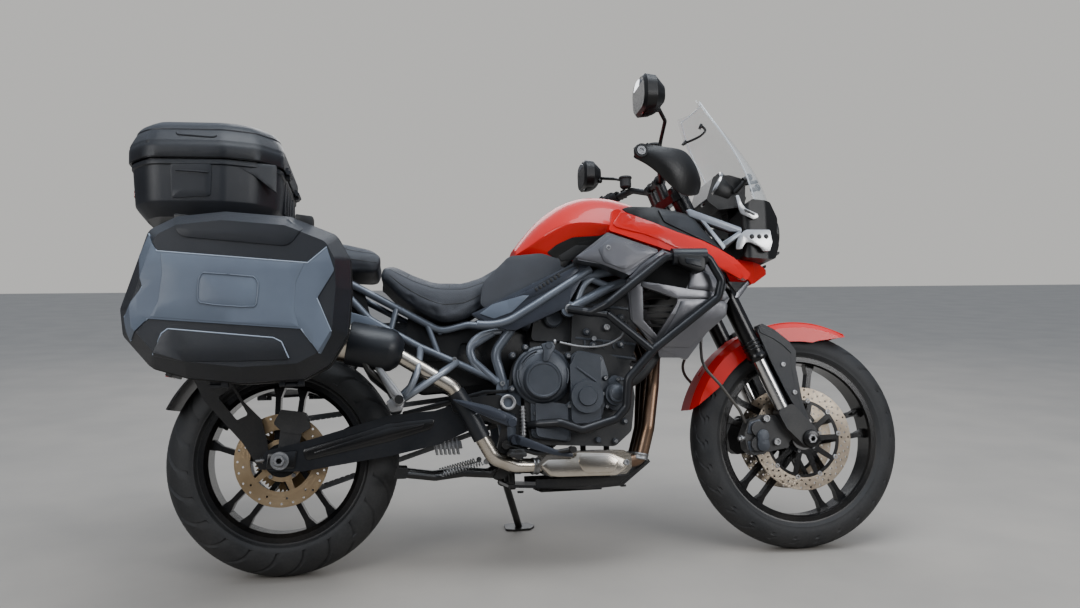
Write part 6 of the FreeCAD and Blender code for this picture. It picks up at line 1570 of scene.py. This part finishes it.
block_on(mesh, 38, 31, DISPLAY_PLACE + CAN_WAY * 10, CAN_WAY, 1.6, 6, 0.5)
keep(mesh, "display_window", "lens_dark")

SCREEN_EDGE = ((1392, 148, 1056), (1378, 152, 1100), (1363, 152, 1150), (1334, 148, 1210),
               (1302, 140, 1270), (1272, 118, 1330), (1256, 96, 1374))
mesh = bmesh.new()
for side in (-1, 1):
    bar(mesh, at_side(SCREEN_EDGE, side), 2.6, 3, 6, 8)
bar(mesh, [(1255, -96, 1376), (1270, -70, 1384), (1277, -30, 1385), (1277, 30, 1385),
           (1270, 70, 1384), (1256, 96, 1376)], 2.4, 3, 6, 8)
keep(mesh, "screen_edges", "screen_edge")
mesh = bmesh.new()
for side in (-1, 1):
    for place in ((1385, side * 118, 1128), (1432, side * 62, 1110)):
        turned(mesh, ((0, 14), (9, 14), (12, 11), (12, 7), (8, 5), (8, -14), (0, -14)), place,
               (0.9, 0, 0.4), 20)
    bar(mesh, ((1384, side * 118, 1126), (1368, side * 110, 1106), (1352, side * 96, 1090)), 7, 3, 5, 8)
    block_on(mesh, 10, 7, (1262, side * 84, 1300), (-0.88, -side * 0.2, 0.42), 9, 2, 1)
bar(mesh, ((1262, -84, 1302), (1290, -44, 1306), (1296, 0, 1308), (1290, 44, 1306), (1262, 84, 1302)),
    4.2, 3, 8, 10)
keep(mesh, "screen_clamps", "black")

mesh, lens, bowl = (bmesh.new() for count in range(3))
for side in (-1, 1):
    centre = Vector((1486, side * 52, 966))
    out = Vector((0.97, side * 0.12, 0.02)).normalized()
    turned(mesh, ((41, -16), (41, 4), (44, 7), (48, 5), (50, 0), (50, -16)), centre, out, 44)
    turned(bowl, ((0, -10), (10, -9), (13, 2), (16, -9), (28, -6), (36, -1), (41, 5), (41, -18),
                  (0, -18)), centre, out, 44)
    turned(lens, ((0, 10), (20, 9), (34, 6), (41, 3), (41, 1), (34, 4), (20, 7), (0, 8)), centre, out, 44)
plate(mesh, ((1466, 884), (1492, 900), (1492, 908), (1462, 896)), -78, 78, 3, 1)
keep(mesh, "headlight_rings", "plastic")
keep(bowl, "headlight_bowls", "chrome")
keep(lens, "headlight_lenses", "lens")

# Rear: lamp, indicators, blank plate and reflectors

mesh = bmesh.new()
plate(mesh, ((-262, 802), (-250, 802), (-266, 848), (-278, 848)), -58, 58, 4, 3)
keep(mesh, "tail_lamp_lens", "red_lens")
mesh = bmesh.new()
for side in (-1, 1):
    bar(mesh, ((-232, side * 60, 782), (-236, side * 84, 778), (-238, side * 104, 776)), 7, 3, 5, 8)
    near, far = side * 100.0, side * 134.0
    plate(mesh, ((-256, 762), (-222, 758), (-222, 794), (-256, 792)), near, far, 8, 3)
plate(mesh, ((-292, 706), (-262, 700), (-254, 726), (-284, 734)), -40, 40, 5, 2)
plate(mesh, ((-270, 796), (-244, 796), (-262, 856), (-284, 856)), -64, -59, 3, 1)
plate(mesh, ((-270, 796), (-244, 796), (-262, 856), (-284, 856)), 59, 64, 3, 1)
keep(mesh, "rear_lamp_housings", "plastic")
mesh = bmesh.new()
for side in (-1, 1):
    near, far = side * 103.0, side * 131.0
    plate(mesh, ((-263, 765), (-255, 765), (-255, 790), (-263, 788)), near, far, 3, 2)
keep(mesh, "rear_indicator_lenses", "amber_lens")
mesh = bmesh.new()
plate(mesh, ((-317, 586), (-314, 585), (-267, 704), (-270, 705)), -100, 100, 0.4, 0.3)
keep(mesh, "blank_number_plate", "white")
mesh = bmesh.new()
plate(mesh, ((-322, 564), (-312, 562), (-308, 578), (-318, 580)), -42, 42, 2, 1)
keep(mesh, "rear_reflector", "red_lens")

# Peg rubbers

mesh = bmesh.new()
for side in (-1, 1):
    for index in range(8):
        y = side * (156 + index * 10)
        plate(mesh, ((620, 321), (622, 333), (656, 333), (658, 321)), y - 3.2, y + 3.2, 3, 1)
    near, far = side * 148.0, side * 236.0
    plate(mesh, ((616, 312), (616, 326), (662, 326), (662, 312)), near, far, 5, 2)
keep(mesh, "peg_rubbers", "rubber")

# Left side: chain links, gear linkage, cover bolts, springs

OUTPUT = Vector((692, 0, 470))
CHAIN_FRONT, CHAIN_REAR = 41.0, 105.5
LINK_PITCH = 15.9
mesh = bmesh.new()
span = OUTPUT - REAR_AXLE
tilt = math.atan2(span.z, span.x)
wrap = math.asin((CHAIN_REAR - CHAIN_FRONT) / math.hypot(span.x, span.z))


def link(place, heading):
    for y in (81.0, 95.6):
        for way in (-1, 1):
            turned(mesh, ((0, 1.1), (5.6, 1.1), (5.6, -1.1), (0, -1.1)),
                   Vector((place.x, y, place.z)) + aim(heading) * (5.0 * way), LEFT, 8)
    turned(mesh, ((0, 9.6), (2.6, 9.6), (2.6, -9.6), (0, -9.6)), Vector((place.x, 88.3, place.z)),
           LEFT, 6)


run = math.hypot(span.x, span.z) * math.cos(wrap)
for upper in (1, -1):
    turn = tilt + upper * (math.pi / 2 - wrap)
    base = REAR_AXLE + aim(turn) * CHAIN_REAR
    heading = turn - upper * math.pi / 2
    for index in range(int(run // LINK_PITCH)):
        link(base + aim(heading) * (LINK_PITCH * (index + 0.5)), heading)
keep(mesh, "chain_links", "alloy")

mesh = bmesh.new()
bar(mesh, ((648, 172, 340), (700, 176, 332), (776, 178, 336), (800, 178, 338)), 6.5, 3, 6, 12)
turned(mesh, ((0, 24), (8, 24), (9.5, 22), (9.5, -22), (8, -24), (0, -24)), (802, 182, 338), LEFT, 16)
bar(mesh, ((664, 160, 352), (676, 158, 400), (688, 156, 446)), 4, 2, 3, 8)
turned(mesh, ((0, 8), (10, 8), (12, 5), (12, -5), (0, -5)), (690, 152, 450), LEFT, 20)
keep(mesh, "gear_linkage", "black")
mesh = bmesh.new()
COVER_ROUND = [(845 + 90 * math.cos(angle), 472 + 90 * math.sin(angle))
               for angle in (math.radians(40 * index + 14) for index in range(9))]
for x, z in COVER_ROUND:
    turned(mesh, ((0, 18), (7, 18), (9, 14), (9, -2), (0, -2)), (x, 140, z), LEFT, 14)
plate(mesh, ((756, 600), (830, 606), (900, 600), (936, 560), (944, 480), (930, 400), (870, 372),
             (800, 372), (752, 420), (744, 520)), 136, 158, 14, 3)
turned(mesh, ((0, 199), (20, 199), (24, 197), (30, 190), (34, 188), (58, 187), (64, 184), (66, 176),
              (0, 176)), (845, 0, 472), LEFT, 56)
keep(mesh, "generator_cover_rim", "cover")
mesh = bmesh.new()
for x, z in COVER_ROUND:
    cap_bolt(mesh, (x, 158.5, z), LEFT, 5.4, 4.5, 12)
for x, z in ((672, 420), (730, 412), (746, 500), (676, 516), (656, 470)):
    cap_bolt(mesh, (x, 150.5, z), LEFT, 5, 4, 12)
for x, z in ((625, 463), (618, 344), (610, 286)):
    hex_bolt(mesh, (x, 141, z), LEFT, 9, 7)
keep(mesh, "left_bolts", "alloy")


def spring(mesh, start, end, radius, wire_radius, turns):
    start, end = Vector(start), Vector(end)
    along = end - start
    side = along.cross(LEFT).normalized()
    over = along.cross(side).normalized()
    points = [start]
    count = turns * 8
    for index in range(count + 1):
        angle = math.tau * index / 8
        points.append(start + along * (0.08 + 0.84 * index / count)
                      + side * radius * math.cos(angle) + over * radius * math.sin(angle))
    points.append(end)
    bar(mesh, points, wire_radius, 3, 2, 4)


mesh = bmesh.new()
for y in (118, -118):
    spring(mesh, (560, y, 300), (430, y, 268), 8, 1.6, 14)
for y in (118, -118):
    hex_bolt(mesh, (562, y, 300), LEFT, 6, 5)
keep(mesh, "centre_stand_springs", "alloy")

# Shock spring and radiator fins

mesh = bmesh.new()
spring(mesh, (596, 0, 604), (526, 0, 478), 30, 5.5, 7)
keep(mesh, "shock_spring", "black")
mesh = bmesh.new()
for index in range(20):
    share = (index + 0.6) / 20.4
    x, z = 1152 + 44 * share, 800 - 160 * share
    plate(mesh, ((x - 1, z), (x + 3.2, z + 1), (x + 3.2, z - 2.2), (x - 1, z - 3.2)), -126, 126)
for index in range(33):
    y = -124 + index * 7.75
    plate(mesh, ((1153, 796), (1154.6, 796.4), (1196.6, 643), (1195, 642.6)), y, y + 1.2)
keep(mesh, "radiator_fins", "radiator_fin")

# Skid plate: ribs and bolts

mesh = bmesh.new()
for side in (-1, 1):
    for x, z in ((660, 216), (960, 222)):
        cap_bolt(mesh, (x, side * 90, z - 4), -UP, 9, 5)
for y in (-70, -35, 0, 35, 70):
    plate(mesh, ((720, 209.5), (900, 211), (900, 207), (720, 205.5)), y - 5, y + 5, 1, 1)
keep(mesh, "skid_plate_ribs", "black")

# Rear right: tubes in front of the exhaust pipe, folded pegs, can shield, skirts, inner guard

mesh = bmesh.new()
bar(mesh, ((484, -119, 581), (462, -186, 560), (404, -208, 523), (352, -200, 489), (328, -164, 477)),
    9, 3, 8, 16)
bar(mesh, ((381, -118, 622), (379, -188, 580), (368, -208, 538), (348, -200, 498), (330, -166, 479)),
    8.5, 3, 8, 16)
keep(mesh, "peg_hanger_tubes", "light_frame")
mesh = bmesh.new()
plate(mesh, ((255, 566), (267, 577), (330, 492), (338, 470), (320, 457), (298, 486)), -206, -188, 7, 4)
plate(mesh, ((262, 558), (270, 562), (318, 494), (312, 484), (300, 494)), -210, -204, 4, 2)
plate(mesh, ((285, 472), (312, 489), (336, 470), (328, 446), (298, 443)), -192, -160, 6, 3)
cap_bolt(mesh, (318, -206, 472), RIGHT, 8, 5)
keep(mesh, "folded_pillion_pegs", "alloy", both=True)
mesh = bmesh.new()
turned(mesh, ((26, -34), (42, -24), (55, -9), (60, 8), (60.5, 112), (57.6, 117), (57, 112), (57, 10),
              (51, -7), (38, -21), (24, -29)), SILENCER_FRONT, SILENCER_WAY, 56)
bar(mesh, ((476, -174.5, 495), (510, -172, 440), (547, -168, 366)), 25, 2, 6, 24)
keep(mesh, "silencer_and_pipe_shields", "blue_black")
mesh = bmesh.new()
plate(mesh, ((188, 723), (244, 706), (276, 687), (280, 676), (250, 664), (188, 662)), -172, -158, 6, 4)
keep(mesh, "tail_side_skirts", "slate", both=True)
mesh = bmesh.new()
plate(mesh, ((231, 704), (486, 700), (560, 690), (692, 706), (700, 560), (640, 500), (470, 492),
             (457, 501), (390, 497), (353, 519), (366, 573), (320, 602), (236, 606)), -66, -62, 10, 1)
plate(mesh, ((300, 690), (470, 684), (560, 610), (590, 520), (480, 510), (400, 520), (380, 580),
             (320, 620)), -69, -65, 12, 1.5)
keep(mesh, "inner_mudguard_sides", "plastic", both=True)

# Floor, light and camera

CAMERA_PLACE = Vector((0.3123, -2.6227, 0.9473)) + SHIFT
CAMERA_YAW = math.radians(8.903)
CAMERA_PITCH = math.radians(4.106)
FOCAL = 31.0

camera = bpy.data.objects.new("camera", bpy.data.cameras.new("camera"))
camera.data.lens = FOCAL
camera.data.sensor_width = 36.0
camera.location = CAMERA_PLACE
sight = Vector((math.sin(CAMERA_YAW) * math.cos(CAMERA_PITCH),
                math.cos(CAMERA_YAW) * math.cos(CAMERA_PITCH), -math.sin(CAMERA_PITCH)))
camera.rotation_euler = sight.to_track_quat("-Z", "Y").to_euler()
bpy.context.scene.collection.objects.link(camera)
bpy.context.scene.camera = camera

floor_mesh = bmesh.new()
bmesh.ops.create_grid(floor_mesh, x_segments=1, y_segments=1, size=14.0)
floor_data = bpy.data.meshes.new("floor")
floor_mesh.to_mesh(floor_data)
floor_mesh.free()
floor = bpy.data.objects.new("floor", floor_data)
floor_look = Finish("pale_floor", linear(150, 144, 136), 0.85)
floor_look.set("Base Color", floor_look.drift(linear(142, 137, 130), 3.0))
floor_data.materials.append(floor_look.material)
bpy.context.scene.collection.objects.link(floor)

world = bpy.data.worlds.new("soft_studio")
world.use_nodes = True
tree = world.node_tree
climb = axes_of(tree, put(tree, "TexCoord").outputs["Generated"])["Z"]
reach = stretched(tree, climb, 0.12, 0.85, smooth=True)
sky = blend_colours(tree, reach, linear(84, 85, 88), linear(226, 238, 255))
rays = put(tree, "LightPath").outputs
seen = times(tree, rays["Is Camera Ray"], rays["Is Transmission Ray"], "MAXIMUM")
backdrop = tree.nodes["Background"].inputs
feed(tree, backdrop["Color"], blend_colours(tree, seen, sky, linear(190, 189, 186)))
feed(tree, backdrop["Strength"], 1.15)
bpy.context.scene.world = world


def soft_light(name, place, target, width, height, power, tint=(1.0, 1.0, 1.0)):
    lamp = bpy.data.lights.new(name, "AREA")
    lamp.shape = "RECTANGLE"
    lamp.size = width
    lamp.size_y = height
    lamp.energy = power
    lamp.color = tint
    holder = bpy.data.objects.new(name, lamp)
    holder.location = place
    holder.rotation_euler = (Vector(target) - Vector(place)).to_track_quat("-Z", "Y").to_euler()
    bpy.context.scene.collection.objects.link(holder)


soft_light("sky_above", (0.3, -0.8, 4.2), (0.0, 0.0, 0.5), 3.6, 2.0, 150, (0.9, 0.95, 1.0))
soft_light("front_left", (3.2, -3.6, 2.4), (0.2, 0.0, 0.6), 2.2, 1.6, 95)
soft_light("rear_right", (-3.4, -3.0, 2.2), (-0.2, 0.0, 0.6), 2.0, 1.6, 65)
soft_light("far_side", (0.4, 4.2, 2.8), (0.0, 0.0, 0.6), 3.5, 2.2, 70)
